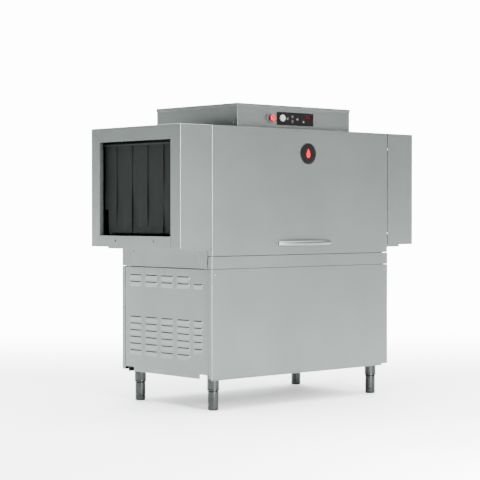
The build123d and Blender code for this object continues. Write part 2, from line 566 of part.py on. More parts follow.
PIPE_RADIUS = 22.5
with BuildPart() as overflow_standpipe:
    with BuildSketch(Plane((DRAIN_X, DRAIN_Y, TANK_BOTTOM + SHEET))):
        Circle(PIPE_RADIUS)
        Circle(PIPE_RADIUS - SHEET, mode=Mode.SUBTRACT)
    extrude(amount=DECK_TOP - 14 - TANK_BOTTOM - SHEET)
    for side, _ in SIDES:
        rod((DRAIN_X + side * (PIPE_RADIUS - 1), DRAIN_Y, DECK_TOP - 20), (0, 0, 1), 2, 35)
    rod((DRAIN_X - PIPE_RADIUS - 1, DRAIN_Y, DECK_TOP + 15), (1, 0, 0), 2, 2 * PIPE_RADIUS + 2)
keep(overflow_standpipe, "overflow_standpipe")

ELBOW = 50
with BuildPart() as drain_pipe:
    drain_end = Y_BACK + REAR_REACH
    pipe([(DRAIN_X, DRAIN_Y, TANK_BOTTOM), (DRAIN_X, DRAIN_Y, DRAIN_Z), (DRAIN_X, drain_end, DRAIN_Z)],
         ELBOW, DRAIN_RADIUS - 1, 2)
    with BuildSketch(Plane((DRAIN_X, drain_end, DRAIN_Z), z_dir=(0, -1, 0))) as spigot:
        Circle(DRAIN_RADIUS)
        Circle(DRAIN_RADIUS - 3, mode=Mode.SUBTRACT)
    extrude(spigot.sketch, amount=REAR_REACH - 2)
    with BuildSketch(Plane((DRAIN_X, DRAIN_Y, TANK_BOTTOM - 5))) as flange:
        Circle(40)
        Circle(DRAIN_RADIUS - 3, mode=Mode.SUBTRACT)
    extrude(flange.sketch, amount=5)
keep(drain_pipe, "drain_pipe")

HEATER_Z = TANK_BOTTOM + 35
HEATER_HALF = 40
HEATER_END = TANK_X[0] + 285
with BuildPart() as tank_heater:
    pipe([(TANK_X[1], -HEATER_HALF, HEATER_Z), (HEATER_END, -HEATER_HALF, HEATER_Z),
          (HEATER_END, HEATER_HALF, HEATER_Z), (TANK_X[1], HEATER_HALF, HEATER_Z)], HEATER_HALF - 5, 4.5)
    slab((TANK_X[1], TANK_X[1] + 40), (-60, 60), (HEATER_Z - 15, HEATER_Z + 65))
keep(tank_heater, "tank_heater")

# ------------------------------------------------------------------ wash pump
VOLUTE_RADIUS = 95
VOLUTE_X = (RISER_X[0] + 10, RISER_X[1] - 10)
CASING_WALL = 5
MOTOR_X = (VOLUTE_X[0] - 265, VOLUTE_X[0])
MOTOR_RADIUS = 75
ROTOR_SHAFT = 8
RISER_BOTTOM = PUMP_Z + 170

with BuildPart() as pump_casing:
    length = VOLUTE_X[1] - VOLUTE_X[0]
    rod((VOLUTE_X[0], PUMP_Y, PUMP_Z), (1, 0, 0), VOLUTE_RADIUS, length)
    slab(VOLUTE_X, RISER_Y, (PUMP_Z, RISER_BOTTOM))
    slab((VOLUTE_X[0] + 3, VOLUTE_X[1] - 3), (RISER_Y[0] + 3, RISER_Y[1] - 3), (PUMP_Z, RISER_BOTTOM),
         Mode.SUBTRACT)
    rod((VOLUTE_X[0] + CASING_WALL, PUMP_Y, PUMP_Z), (1, 0, 0), VOLUTE_RADIUS - CASING_WALL,
        length - 2 * CASING_WALL, Mode.SUBTRACT)
    rod((VOLUTE_X[0] - 1, PUMP_Y, PUMP_Z), (1, 0, 0), ROTOR_SHAFT + 1, 2 * CASING_WALL, Mode.SUBTRACT)
    rod((VOLUTE_X[1] - 2 * CASING_WALL, PUMP_Y, PUMP_Z), (1, 0, 0), SUCTION_RADIUS - SHEET, 3 * CASING_WALL,
        Mode.SUBTRACT)
    pipe([(VOLUTE_X[1], PUMP_Y, PUMP_Z), (SUCTION_X, PUMP_Y, PUMP_Z), (SUCTION_X, PUMP_Y, TANK_BOTTOM)],
         ELBOW, SUCTION_RADIUS, SHEET)
keep(pump_casing, "pump_casing")

with BuildPart() as pump_motor:
    rod((MOTOR_X[0], PUMP_Y, PUMP_Z), (1, 0, 0), MOTOR_RADIUS, MOTOR_X[1] - MOTOR_X[0])
    rod((MOTOR_X[0] + 8, PUMP_Y, PUMP_Z), (1, 0, 0), 50, MOTOR_X[1] - MOTOR_X[0] - 16, Mode.SUBTRACT)
    rod((MOTOR_X[1] - 10, PUMP_Y, PUMP_Z), (1, 0, 0), ROTOR_SHAFT + TURN_GAP, 11, Mode.SUBTRACT)
    for y in (PUMP_Y - 50, PUMP_Y + 40):
        slab((MOTOR_X[0] + 35, MOTOR_X[1] - 40), (y, y + 10), (FRAME_BOTTOM + 45, PUMP_Z - 55))
    slab((MOTOR_X[0] + 25, MOTOR_X[1] - 30), (PUMP_Y - 65, Y_FRAME - POST - 1),
         (FRAME_BOTTOM + 40, FRAME_BOTTOM + 45))
keep(pump_motor, "pump_motor")

with BuildPart() as pump_rotor:
    rod((MOTOR_X[0] + 20, PUMP_Y, PUMP_Z), (1, 0, 0), ROTOR_SHAFT, 285)
    rod((MOTOR_X[0] + 35, PUMP_Y, PUMP_Z), (1, 0, 0), 45, 180)
    rod((VOLUTE_X[0] + 15, PUMP_Y, PUMP_Z), (1, 0, 0), 62, 4)
    for blade in range(6):
        with BuildSketch(Plane((VOLUTE_X[0] + 19, PUMP_Y, PUMP_Z), z_dir=(1, 0, 0))) as vane:
            with PolarLocations(35, 1, start_angle=60 * blade):
                Rectangle(50, 4, rotation=25)
        extrude(vane.sketch, amount=16)
keep(pump_rotor, "pump_rotor")

# ------------------------------------------------------------------ wash and rinse arms
ARM_RADIUS = 13
UPPER_Z = MOUTH_TOP - 36
LOWER_Z = DECK_TOP + 56
ARM_FRONT = Y_SURROUND + 57
MANIFOLD_X = (121 - X_FRAME, RISER_X[0])
ARM_PITCH = (MANIFOLD_X[1] - MANIFOLD_X[0] - 170) / 3
ARM_XS = [MANIFOLD_X[0] + 20 + k * ARM_PITCH for k in range(4)]
NOZZLE_YS = (-210, -105, 0, 105, 210)
with BuildPart() as wash_riser:
    square_tube(RISER_X, RISER_Y, (RISER_BOTTOM, UPPER_Z + 20), SHEET, 2)
    slab(RISER_X, RISER_Y, (UPPER_Z + 18, UPPER_Z + 20))
keep(wash_riser, "wash_riser")


def arm_row(xs, z, radius, nozzle):
    """Spray arms across the tunnel from the back, with nozzles that point up (1) or down (-1)."""
    for x in xs:
        rod((x, ARM_FRONT, z), (0, 1, 0), radius, RISER_Y[0] - ARM_FRONT)
        rod((x, ARM_FRONT + SHEET, z), (0, 1, 0), radius - SHEET, RISER_Y[0] - ARM_FRONT - 2 * SHEET,
            Mode.SUBTRACT)
        for y in NOZZLE_YS:
            rod((x, y, z + nozzle * (radius - 1)), (0, 0, nozzle), 5, 13)


with BuildPart() as upper_wash_arms:
    slab(MANIFOLD_X, RISER_Y, (UPPER_Z - 20, UPPER_Z + 20))
    slab((MANIFOLD_X[0] + 3, MANIFOLD_X[1]), (RISER_Y[0] + 3, RISER_Y[1] - 3), (UPPER_Z - 17, UPPER_Z + 17),
         Mode.SUBTRACT)
    arm_row(ARM_XS, UPPER_Z, ARM_RADIUS, -1)
keep(upper_wash_arms, "upper_wash_arms")

with BuildPart() as lower_wash_arms:
    slab(MANIFOLD_X, RISER_Y, (LOWER_Z - 20, LOWER_Z + 20))
    slab((MANIFOLD_X[0] + 3, MANIFOLD_X[1]), (RISER_Y[0] + 3, RISER_Y[1] - 3), (LOWER_Z - 17, LOWER_Z + 17),
         Mode.SUBTRACT)
    arm_row(ARM_XS, LOWER_Z, ARM_RADIUS, 1)
keep(lower_wash_arms, "lower_wash_arms")

BOOSTER_X = CRANK_X
BOOSTER_Y = -90
BOOSTER_Z = (FRAME_BOTTOM + 25, DECK_TOP - 219)
BOOSTER_RADIUS = 115
RINSE_FEED = DECK_TOP - 179
with BuildPart() as rinse_arms:
    for z in (DECK_TOP + 71, UPPER_Z):
        rod((RINSE_X, ARM_FRONT, z), (0, 1, 0), RINSE_RADIUS, RINSE_Y - ARM_FRONT)
        jet = -1 if z == UPPER_Z else 1
        for y in NOZZLE_YS:
            rod((RINSE_X, y, z + jet * (RINSE_RADIUS - 1)), (0, 0, jet), 3, 6)
    rod((RINSE_X, RINSE_Y, RINSE_FEED), (0, 0, 1), RINSE_RADIUS, UPPER_Z + RINSE_RADIUS - RINSE_FEED)
    pipe([(BOOSTER_X + 50, BOOSTER_Y, BOOSTER_Z[1]), (BOOSTER_X + 50, BOOSTER_Y, RINSE_FEED),
          (BOOSTER_X + 50, RINSE_Y, RINSE_FEED), (RINSE_X, RINSE_Y, RINSE_FEED)], 20, RINSE_RADIUS)
keep(rinse_arms, "rinse_arms")

with BuildPart() as booster_tank:
    rod((BOOSTER_X, BOOSTER_Y, BOOSTER_Z[0]), (0, 0, 1), BOOSTER_RADIUS, BOOSTER_Z[1] - BOOSTER_Z[0])
    fillet(booster_tank.part.edges().filter_by(GeomType.CIRCLE), 20)
    rod((BOOSTER_X, BOOSTER_Y, BOOSTER_Z[0] + 20), (0, 0, 1), BOOSTER_RADIUS - 4,
        BOOSTER_Z[1] - BOOSTER_Z[0] - 40, Mode.SUBTRACT)
keep(booster_tank, "booster_tank")

VALVE_Y = (300, 350)
with BuildPart() as rinse_valve:
    rod((INLET_X, VALVE_Y[1], INLET_Z), (0, 1, 0), INLET_RADIUS - 1, Y_BACK + 3 - VALVE_Y[1])
    rod((INLET_X, Y_BACK + 3, INLET_Z), (0, 1, 0), INLET_RADIUS, INLET_LENGTH)
    slab(around(INLET_X, 25), VALVE_Y, around(INLET_Z, 25))
    rod((INLET_X, 325, INLET_Z + 25), (0, 0, 1), 18, 45)
    pipe([(INLET_X, VALVE_Y[0], INLET_Z), (INLET_X, BOOSTER_Y, INLET_Z),
          (INLET_X, BOOSTER_Y, BOOSTER_Z[1])], 20, RINSE_RADIUS)
keep(rinse_valve, "rinse_valve")

# ------------------------------------------------------------------ rack conveyor
RAIL_FOOT = RACK_LEVEL - 3
RAIL_INNER = RACK_HALF - 24
GUIDE_INNER = RACK_HALF + 12
GUIDE_OUTER = GUIDE_INNER + SHEET
RAIL_END = X_END - 45
RAIL_GUIDE_TOP = RACK_LEVEL + 120
TIE_XS = (41 - X_FRAME, -280, 70, X_FRAME - 41)
BAR_Z = (DECK_TOP + 93, DECK_TOP + 105)
TIE_TOP = BAR_Z[0] - 1
TIE_HEIGHT = 9
STROKE = 65
BAR_HALF = X_FRAME - STROKE - 6

with BuildPart() as rack_rails:
    for front in (-1, 1):
        slab(around(0, RAIL_END), span(front, RAIL_INNER, GUIDE_INNER - WELD_GAP), (RAIL_FOOT, RACK_LEVEL))
        slab(around(0, RAIL_END), span(front, GUIDE_INNER, GUIDE_OUTER), (RAIL_FOOT, RAIL_GUIDE_TOP))
        for x in TIE_XS:
            slab(around(x, 10), span(front, RACK_HALF, GUIDE_INNER),
                 (TIE_TOP + WELD_GAP, RAIL_FOOT - WELD_GAP))
        for side, _ in SIDES:
            wall_y = Y_CHAMBER if front > 0 else -(GUIDE_Y[1] + SHEET)
            slab(span(side, COLUMN_X[0] + 5, COLUMN_X[1]), span(front, GUIDE_OUTER + WELD_GAP, wall_y),
                 (RACK_LEVEL + 8, RACK_LEVEL + 38))
    for x in TIE_XS:
        slab(around(x, 10), around(0, GUIDE_INNER), (TIE_TOP - TIE_HEIGHT, TIE_TOP))
keep(rack_rails, "rack_rails")

BAR_Y = (8, 14)
YOKE_HALF = 22
YOKE_REACH = 95
ROLLER_RADIUS = 10
PAWL_XS = (-450, -100, 250)
PAWL_Z = (BAR_Z[0] + BAR_Z[1]) / 2
PIN_RADIUS = 3
with BuildPart() as drag_bar:
    for front in (-1, 1):
        slab(around(0, BAR_HALF), span(front, *BAR_Y), BAR_Z)
        slab(around(CRANK_X, YOKE_HALF), span(front, BAR_Y[1], YOKE_REACH), (BAR_Z[0], BAR_Z[0] + 8))
    slab(around(CRANK_X, YOKE_HALF), around(0, BAR_Y[0]), (BAR_Z[0], BAR_Z[0] + 8))
    slab(around(CRANK_X, ROLLER_RADIUS + SLIDE_GAP), around(0, YOKE_REACH - 15),
         (BAR_Z[0] - 1, BAR_Z[0] + 9), Mode.SUBTRACT)
    slab(around(CRANK_X, YOKE_HALF), span(-1, YOKE_REACH - 15, YOKE_REACH), (BAR_Z[0], BAR_Z[0] + 8))
    for x in (-BAR_HALF + 10, *PAWL_XS, BAR_HALF - 10):
        rod((x, -BAR_Y[1], PAWL_Z), (0, 1, 0), PIN_RADIUS, 2 * BAR_Y[1])
keep(drag_bar, "drag_bar")

PAWL_HALF = 6
for index, x in enumerate(PAWL_XS, start=1):
    with BuildPart() as pawl:
        with BuildSketch(Plane.XZ.offset(-PAWL_HALF)):
            with Locations((x, PAWL_Z)):
                Polygon((-30, -15), (-4, -15), (6, -4), (24, 20), (24, 29), (20, 29), (2, 7), (-10, 5),
                        (-30, -4), align=None)
        extrude(amount=2 * PAWL_HALF)
        rod((x, -PAWL_HALF - 1, PAWL_Z), (0, 1, 0), PIN_RADIUS + TURN_GAP, 2 * PAWL_HALF + 2, Mode.SUBTRACT)
    keep(pawl, f"pawl_{index}")

DISC_RADIUS = 80
DISC_Z = (DECK_TOP + 73, DECK_TOP + 83)
GEARBOX_Z = (DECK_TOP - 119, DECK_TOP - 7)
with BuildPart() as drive_crank:
    rod((CRANK_X, 0, GEARBOX_Z[0] + 40), (0, 0, 1), SHAFT_DRIVE_RADIUS, DISC_Z[1] - GEARBOX_Z[0] - 40)
    rod((CRANK_X, 0, DISC_Z[0]), (0, 0, 1), DISC_RADIUS, DISC_Z[1] - DISC_Z[0])
    rod((CRANK_X, STROKE, DISC_Z[1]), (0, 0, 1), ROLLER_RADIUS, TIE_TOP - DISC_Z[1])
keep(drive_crank, "drive_crank")

with BuildPart() as drive_gearmotor:
    slab(around(CRANK_X, 65), around(0, 60), GEARBOX_Z)
    rod((CRANK_X, 0, GEARBOX_Z[0] + 38), (0, 0, 1), SHAFT_DRIVE_RADIUS + TURN_GAP, 90, Mode.SUBTRACT)
    rod((CRANK_X, 60, GEARBOX_Z[0] + 55), (0, 1, 0), 50, 170)
    slab(around(CRANK_X, 15), (230, Y_FRAME - POST), (GEARBOX_Z[1] - 30, GEARBOX_Z[1] - 20))
keep(drive_gearmotor, "drive_gearmotor")

# ------------------------------------------------------------------ strip curtains
HEM_RADIUS = 8
STRIP_COUNT = 8
STRIP_THICK = 3
CURTAIN_BOTTOM = RACK_LEVEL + 4
CURTAIN_STEP = RAIL_GUIDE_TOP + 6
CURTAIN_HALVES = {-1: MOUTH_HALF - 3, 1: RINSE_Y - RINSE_RADIUS - 3}
NARROW_HALF = GUIDE_INNER - 6
for side, name in ((-1, "entry_curtain"), (1, "exit_curtain")):
    wide = CURTAIN_HALVES[side]
    with BuildPart() as curtain:
        rod((side * X_ROD, -wide, Z_ROD), (0, 1, 0), HEM_RADIUS, 2 * wide)
        sheet_plane = Plane((side * X_ROD - STRIP_THICK / 2, 0, 0), x_dir=(0, 1, 0), z_dir=(1, 0, 0))
        with BuildSketch(sheet_plane) as strips:
            with Locations((0, Z_ROD)):
                Rectangle(2 * wide, Z_ROD - CURTAIN_STEP, align=(Align.CENTER, Align.MAX))
                Rectangle(2 * NARROW_HALF, Z_ROD - CURTAIN_BOTTOM, align=(Align.CENTER, Align.MAX))
            with Locations(*[((k - STRIP_COUNT / 2) * 2 * NARROW_HALF / STRIP_COUNT, Z_ROD - HEM_RADIUS - 4)
                             for k in range(1, STRIP_COUNT)]):
                Rectangle(2, Z_ROD, align=(Align.CENTER, Align.MAX), mode=Mode.SUBTRACT)
        extrude(strips.sketch, amount=STRIP_THICK)
        rod((side * X_ROD, -wide - 1, Z_ROD), (0, 1, 0), ROD_RADIUS + 0.2, 2 * wide + 2,
            Mode.SUBTRACT)
    keep(curtain, name)

# ------------------------------------------------------------------ control box
BOX_HALF = BOX_WIDTH / 2
BOX_FRONT = Y_FRONT + BOX_SETBACK
BOX_BACK = Y_BACK - 5
LID_RISE = 12
LID_SKIRT = 6
OVERLAY_HALF = 134
OVERLAY_THICK = 1.5
OVERLAY_Z = (TUNNEL_TOP + 22, TUNNEL_TOP + 90)
START_X = -100
START_Z = TUNNEL_TOP + 58
START_RADIUS = 18
START_STEM = 8
START_TRAVEL = 3
STOP_X = -180
STOP_Z = TUNNEL_TOP + 55
STOP_STEM = 10
STOP_TRAVEL = 5
STOP_HEAD = 19
STOP_COLLAR = 27
COLLAR_THICK = 4
GLAND_X = 350
GLAND_RADIUS = 16

with BuildPart() as control_box:
    slab(around(0, BOX_HALF), (BOX_FRONT, BOX_BACK), (TUNNEL_TOP, TOP - LID_RISE))
    slab(around(0, BOX_HALF - SHEET), (BOX_FRONT + SHEET, BOX_BACK - SHEET), (TUNNEL_TOP + SHEET, TOP),
         Mode.SUBTRACT)
    rod((*CABLE_HOLE, TUNNEL_TOP - 1), (0, 0, 1), CABLE_HOLE_RADIUS, 2 * SHEET, Mode.SUBTRACT)
    rod((START_X, BOX_FRONT - 1, START_Z), (0, 1, 0), START_STEM + SLIDE_GAP, 2 * SHEET, Mode.SUBTRACT)
    rod((STOP_X, BOX_FRONT - 1, STOP_Z), (0, 1, 0), STOP_STEM + SLIDE_GAP, 2 * SHEET, Mode.SUBTRACT)
    rod((GLAND_X, BOX_BACK + 1, START_Z), (0, -1, 0), GLAND_RADIUS - 5, 2 * SHEET, Mode.SUBTRACT)
keep(control_box, "control_box")

with BuildPart() as control_box_lid:
    lid_foot = TOP - LID_RISE - LID_SKIRT
    slab(around(0, BOX_HALF + SHEET), (BOX_FRONT - SHEET, BOX_BACK + SHEET), (lid_foot, TOP))
    fillet(control_box_lid.part.edges().group_by(Axis.Z)[-1], 2.5)
    slab(around(0, BOX_HALF), (BOX_FRONT, BOX_BACK), (lid_foot - 1, TOP - SHEET), Mode.SUBTRACT)
keep(control_box_lid, "control_box_lid")

with BuildPart() as control_overlay:
    with BuildSketch(Plane.XZ.offset(-BOX_FRONT)):
        with Locations((0, (OVERLAY_Z[0] + OVERLAY_Z[1]) / 2)):
            RectangleRounded(2 * OVERLAY_HALF, OVERLAY_Z[1] - OVERLAY_Z[0], 5)
        with Locations((START_X, START_Z)):
            Circle(START_STEM + SLIDE_GAP, mode=Mode.SUBTRACT)
    extrude(amount=OVERLAY_THICK)
keep(control_overlay, "control_overlay")

with BuildPart() as start_button:
    cap_back = BOX_FRONT - OVERLAY_THICK - START_TRAVEL - SLIDE_GAP
    rod((START_X, cap_back, START_Z), (0, -1, 0), START_RADIUS, 9)
    fillet(start_button.part.edges().group_by(Axis.Y)[0], 2)
    rod((START_X, cap_back, START_Z), (0, 1, 0), START_STEM, 20)
keep(start_button, "start_button")

with BuildPart() as estop_collar:
    rod((STOP_X, BOX_FRONT, STOP_Z), (0, -1, 0), STOP_COLLAR, COLLAR_THICK)
    rod((STOP_X, BOX_FRONT + 1, STOP_Z), (0, -1, 0), STOP_STEM + SLIDE_GAP, 2 * COLLAR_THICK, Mode.SUBTRACT)
keep(estop_collar, "estop_collar")

STOP_BACK = BOX_FRONT - COLLAR_THICK - STOP_TRAVEL - 3
with BuildPart() as estop_stem:
    rod((STOP_X, STOP_BACK + SLIDE_GAP, STOP_Z), (0, 1, 0), STOP_STEM, 42)
keep(estop_stem, "estop_stem")

with BuildPart() as estop_head:
    rod((STOP_X, STOP_BACK, STOP_Z), (0, -1, 0), STOP_HEAD, 16)
    fillet(estop_head.part.edges().group_by(Axis.Y)[0], 6)
keep(estop_head, "estop_head")

PLATE_Z = TUNNEL_TOP + SHEET
with BuildPart() as electrics:
    slab((-350, 250), (-200, 300), (PLATE_Z, PLATE_Z + 3))
    for column in range(5):
        slab(around(-290 + 80 * column, 28), (60, 130), (PLATE_Z + 3, PLATE_Z + 78))
    slab((-310, 60), (180, 210), (PLATE_Z + 3, PLATE_Z + 48))
    slab((120, 220), (-60, 40), (PLATE_Z + 3, PLATE_Z + 83))
    rod((GLAND_X, BOX_BACK - SHEET - 12, START_Z), (0, 1, 0), GLAND_RADIUS - 5.5, 12 + SHEET + 20)
    rod((GLAND_X, BOX_BACK, START_Z), (0, 1, 0), GLAND_RADIUS, 14)
    rod((GLAND_X, BOX_BACK - 20, START_Z), (0, 1, 0), GLAND_RADIUS - 10, 60, Mode.SUBTRACT)
keep(electrics, "electrics")

SCREW_HEAD = 6
SCREW_TALL = 2.2
with BuildPart() as panel_screws:
    for side, _ in SIDES:
        rod((side * (X_BODY - 27), Y_FRONT, PANEL_JOINT - 29), (0, -1, 0), SCREW_HEAD, SCREW_TALL)
        for y, z in ((Y_FRONT + 52, PANEL_JOINT - 25), (Y_FRONT + 52, FRAME_BOTTOM + 70),
                     (Y_FRONT + 371, PANEL_JOINT - 25)):
            rod((side * X_BODY, y, z), (side, 0, 0), SCREW_HEAD, SCREW_TALL)
        for y in (APRON_Y[0] + 14, APRON_Y[1] - 14):
            rod((side * (X_BODY + APRON_THICK), y, APRON_TOP - 14), (side, 0, 0), SCREW_HEAD, SCREW_TALL)
        for z in (PANEL_JOINT - 29, FRAME_BOTTOM + 60):
            rod((side * (X_BODY - 27), Y_BACK, z), (0, 1, 0), SCREW_HEAD, SCREW_TALL)
    rod((-BOX_HALF, BOX_FRONT + 30, TUNNEL_TOP + 22), (-1, 0, 0), SCREW_HEAD, SCREW_TALL)
    rod((BOX_HALF, BOX_FRONT + 30, TUNNEL_TOP + 22), (1, 0, 0), SCREW_HEAD, SCREW_TALL)
keep(panel_screws, "panel_screws")
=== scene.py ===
import logging
import math
from dataclasses import dataclass, field
from enum import Enum
from typing import Any, Sequence

import bmesh
import bpy
import numpy as np
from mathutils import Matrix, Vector


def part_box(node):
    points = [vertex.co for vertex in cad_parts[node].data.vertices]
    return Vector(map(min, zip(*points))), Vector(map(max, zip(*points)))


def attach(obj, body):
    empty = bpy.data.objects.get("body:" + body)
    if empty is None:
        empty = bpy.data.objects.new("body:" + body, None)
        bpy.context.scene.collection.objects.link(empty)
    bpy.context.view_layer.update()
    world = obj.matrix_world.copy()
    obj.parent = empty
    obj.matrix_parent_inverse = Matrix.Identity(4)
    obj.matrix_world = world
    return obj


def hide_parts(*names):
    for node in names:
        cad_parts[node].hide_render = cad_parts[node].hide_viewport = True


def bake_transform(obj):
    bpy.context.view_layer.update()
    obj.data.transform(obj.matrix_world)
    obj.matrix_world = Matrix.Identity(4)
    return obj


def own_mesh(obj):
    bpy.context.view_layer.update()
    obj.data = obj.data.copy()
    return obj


# A rack-conveyor dishwasher for commercial kitchens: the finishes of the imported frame's parts, and the
# pieces whose look needs a finer surface than the frame's. Everything is in metres, +X along the racks'
# travel, the front towards -Y, +Z up, with the origin on the floor under the middle of the machine.

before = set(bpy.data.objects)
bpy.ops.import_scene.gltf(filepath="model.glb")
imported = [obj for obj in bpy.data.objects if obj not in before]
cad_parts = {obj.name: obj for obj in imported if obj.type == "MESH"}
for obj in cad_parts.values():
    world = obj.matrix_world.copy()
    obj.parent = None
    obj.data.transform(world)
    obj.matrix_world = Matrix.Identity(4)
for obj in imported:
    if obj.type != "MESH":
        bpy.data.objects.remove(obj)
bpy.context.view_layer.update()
LOG = logging.getLogger("dishwasher")
MM = 0.001
Array = np.ndarray
Colour = tuple[float, float, float, float]
Place = tuple[float, float, float]
Material = bpy.types.Material
Piece = bpy.types.Object
Socket = bpy.types.NodeSocket
FORWARD = (0, -1, 0)
UPWARD = (0, 0, 1)


# ------------------------------------------------------------------------------ colour and nodes
def linear(code: str) -> Colour:
    """Turns an sRGB hex colour into linear light.

    Args:
        code: six hex digits after a hash sign.

    Returns:
        Red, green, blue and alpha for a shader socket.
    """
    steps = [int(code[i:i + 2], 16) / 255 for i in (1, 3, 5)]
    light = [s / 12.92 if s <= 0.04045 else ((s + 0.055) / 1.055) ** 2.4 for s in steps]
    return (light[0], light[1], light[2], 1.0)


def add_node(material: Material, kind: str, settings: dict[str, Any] | None = None,
             inputs: dict[str, Any] | None = None) -> bpy.types.Node:
    """Adds one node, with its settings and its inputs as values or links.

    Args:
        material: the material that gets the node.
        kind: the node's type name without the ShaderNode prefix.
        settings: attribute names and values.
        inputs: socket names or numbers, each with a value or another node's output socket.

    Returns:
        The new node.
    """
    node = material.node_tree.nodes.new("ShaderNode" + kind)
    for name, value in (settings or {}).items():
        setattr(node, name, value)
    for name, value in (inputs or {}).items():
        if isinstance(value, Socket):
            material.node_tree.links.new(value, node.inputs[name])
        else:
            node.inputs[name].default_value = value
    return node


def ramp(material: Material, factor: Socket, stops: Sequence[tuple[float, Colour]]
         ) -> Socket:
    """Adds a colour ramp.

    Args:
        material: the material that gets the node.
        factor: the socket that runs along the ramp.
        stops: positions and colours.

    Returns:
        The ramp's colour output.
    """
    node = add_node(material, "ValToRGB", inputs={"Fac": factor})
    while len(node.color_ramp.elements) < len(stops):
        node.color_ramp.elements.new(0.5)
    for element, (place, colour) in zip(node.color_ramp.elements, stops):
        element.position = place
        element.color = colour
    return node.outputs["Color"]


def smooth_step(owner: Material | bpy.types.World, value: Socket, start: float, end: float,
                low: float = 0.0, high: float = 1.0) -> Socket:
    """Adds a smooth step from one level to another.

    Args:
        owner: the material or world that gets the node.
        value: the socket that is stepped.
        start: the value at which the step starts.
        end: the value at which it ends.
        low: the level before it.
        high: the level after it.

    Returns:
        The step's output.
    """
    node = add_node(owner, "MapRange", {"interpolation_type": "SMOOTHSTEP"}, {
        "Value": value, "From Min": start, "From Max": end, "To Min": low, "To Max": high})
    return node.outputs[0]


def start_material(name: str) -> tuple[Material, bpy.types.Node]:
    """Makes a material with a Principled shader.

    Args:
        name: the real material's name.

    Returns:
        The material and its Principled node.
    """
    material = bpy.data.materials.new(name)
    material.use_nodes = True
    return material, material.node_tree.nodes["Principled BSDF"]


def tones(base: str, lighter: str) -> list[tuple[float, Colour]]:
    """The two stops of a ramp between close tones of one finish."""
    return [(0.3, linear(base)), (0.7, linear(lighter))]


class Grain(Enum):
    """The way the polishing belt ran over a sheet."""

    ALONG_X = (0.02, 1.0, 1.0)
    ALONG_Y = (1.0, 0.02, 1.0)
    ALONG_Z = (1.0, 1.0, 0.02)


@dataclass(frozen=True)
class SatinStainless:
    """Stainless steel 1.4301, belt-polished with grit 240: soft grey reflections drawn out along the grain.

    The real scratches are about 0.05 mm apart, which no render of the whole machine can show, so they are
    drawn 1.6 mm apart and very faint.
    """

    name: str = "stainless steel, satin"
    base: str = "#686D6B"
    light: str = "#6E7371"
    grain: Grain = Grain.ALONG_X
    scratch_mm: float = 1.6
    cloud_mm: float = 420.0
    roughness: float = 0.36
    scratch_depth: float = 0.05

    def make(self) -> Material:
        """Builds the material: scratches in roughness and bump, faint large clouds in the tone."""
        material, shader = start_material(self.name)
        place = add_node(material, "TexCoord")
        stretched = add_node(material, "Mapping", inputs={
            "Vector": place.outputs["Object"], "Scale": self.grain.value})
        scratch = add_node(material, "TexNoise", inputs={
            "Vector": stretched.outputs[0], "Scale": 1 / (self.scratch_mm * MM), "Detail": 3.0,
            "Roughness": 0.6})
        cloud = add_node(material, "TexNoise", inputs={
            "Vector": place.outputs["Object"], "Scale": 1 / (self.cloud_mm * MM), "Detail": 2.0})
        mixed = add_node(material, "Math", {"operation": "MULTIPLY_ADD"},
                         {0: scratch.outputs[0], 1: 0.35, 2: cloud.outputs[0]})
        centred = add_node(material, "Math", {"operation": "SUBTRACT"}, {0: mixed.outputs[0], 1: 0.17})
        colour = ramp(material, centred.outputs[0], tones(self.base, self.light))
        rough = add_node(material, "MapRange", inputs={
            "Value": scratch.outputs[0], "From Min": 0.3, "From Max": 0.7,
            "To Min": self.roughness - 0.05, "To Max": self.roughness + 0.06})
        bump = add_node(material, "Bump", inputs={
            "Height": scratch.outputs[0], "Strength": self.scratch_depth, "Distance": 0.0004})
        links = material.node_tree.links
        links.new(colour, shader.inputs["Base Color"])
        links.new(rough.outputs[0], shader.inputs["Roughness"])
        links.new(bump.outputs[0], shader.inputs["Normal"])
        shader.inputs["Metallic"].default_value = 1.0
        return material


@dataclass(frozen=True)
class Speckled:
    """A finish with one fine pattern over a faint cloud: cast metal, paint, plastic or sheet rubber."""

    name: str
    base: str
    light: str
    metallic: float = 0.0
    roughness: float = 0.5
    spread: float = 0.08
    grain_mm: float = 1.5
    cloud_mm: float = 60.0
    bump: float = 0.1
    depth_mm: float = 0.2
    coat: float = 0.0
    specular: float = 0.5

    def make(self) -> Material:
        """Builds the material: fine grain in bump and roughness, a cloud in the colour."""
        material, shader = start_material(self.name)
        place = add_node(material, "TexCoord").outputs["Object"]
        fine = add_node(material, "TexNoise", inputs={
            "Vector": place, "Scale": 1 / (self.grain_mm * MM), "Detail": 4.0, "Roughness": 0.6})
        cloud = add_node(material, "TexNoise", inputs={
            "Vector": place, "Scale": 1 / (self.cloud_mm * MM), "Detail": 3.0})
        rough = add_node(material, "MapRange", inputs={
            "Value": fine.outputs[0], "From Min": 0.3, "From Max": 0.7,
            "To Min": max(self.roughness - self.spread, 0.02), "To Max": self.roughness + self.spread})
        bump = add_node(material, "Bump", inputs={
            "Height": fine.outputs[0], "Strength": self.bump, "Distance": self.depth_mm * MM})
        links = material.node_tree.links
        colour = ramp(material, cloud.outputs[0], tones(self.base, self.light))
        links.new(colour, shader.inputs["Base Color"])
        links.new(rough.outputs[0], shader.inputs["Roughness"])
        links.new(bump.outputs[0], shader.inputs["Normal"])
        shader.inputs["Metallic"].default_value = self.metallic
        shader.inputs["Coat Weight"].default_value = self.coat
        shader.inputs["Specular IOR Level"].default_value = self.specular
        return material


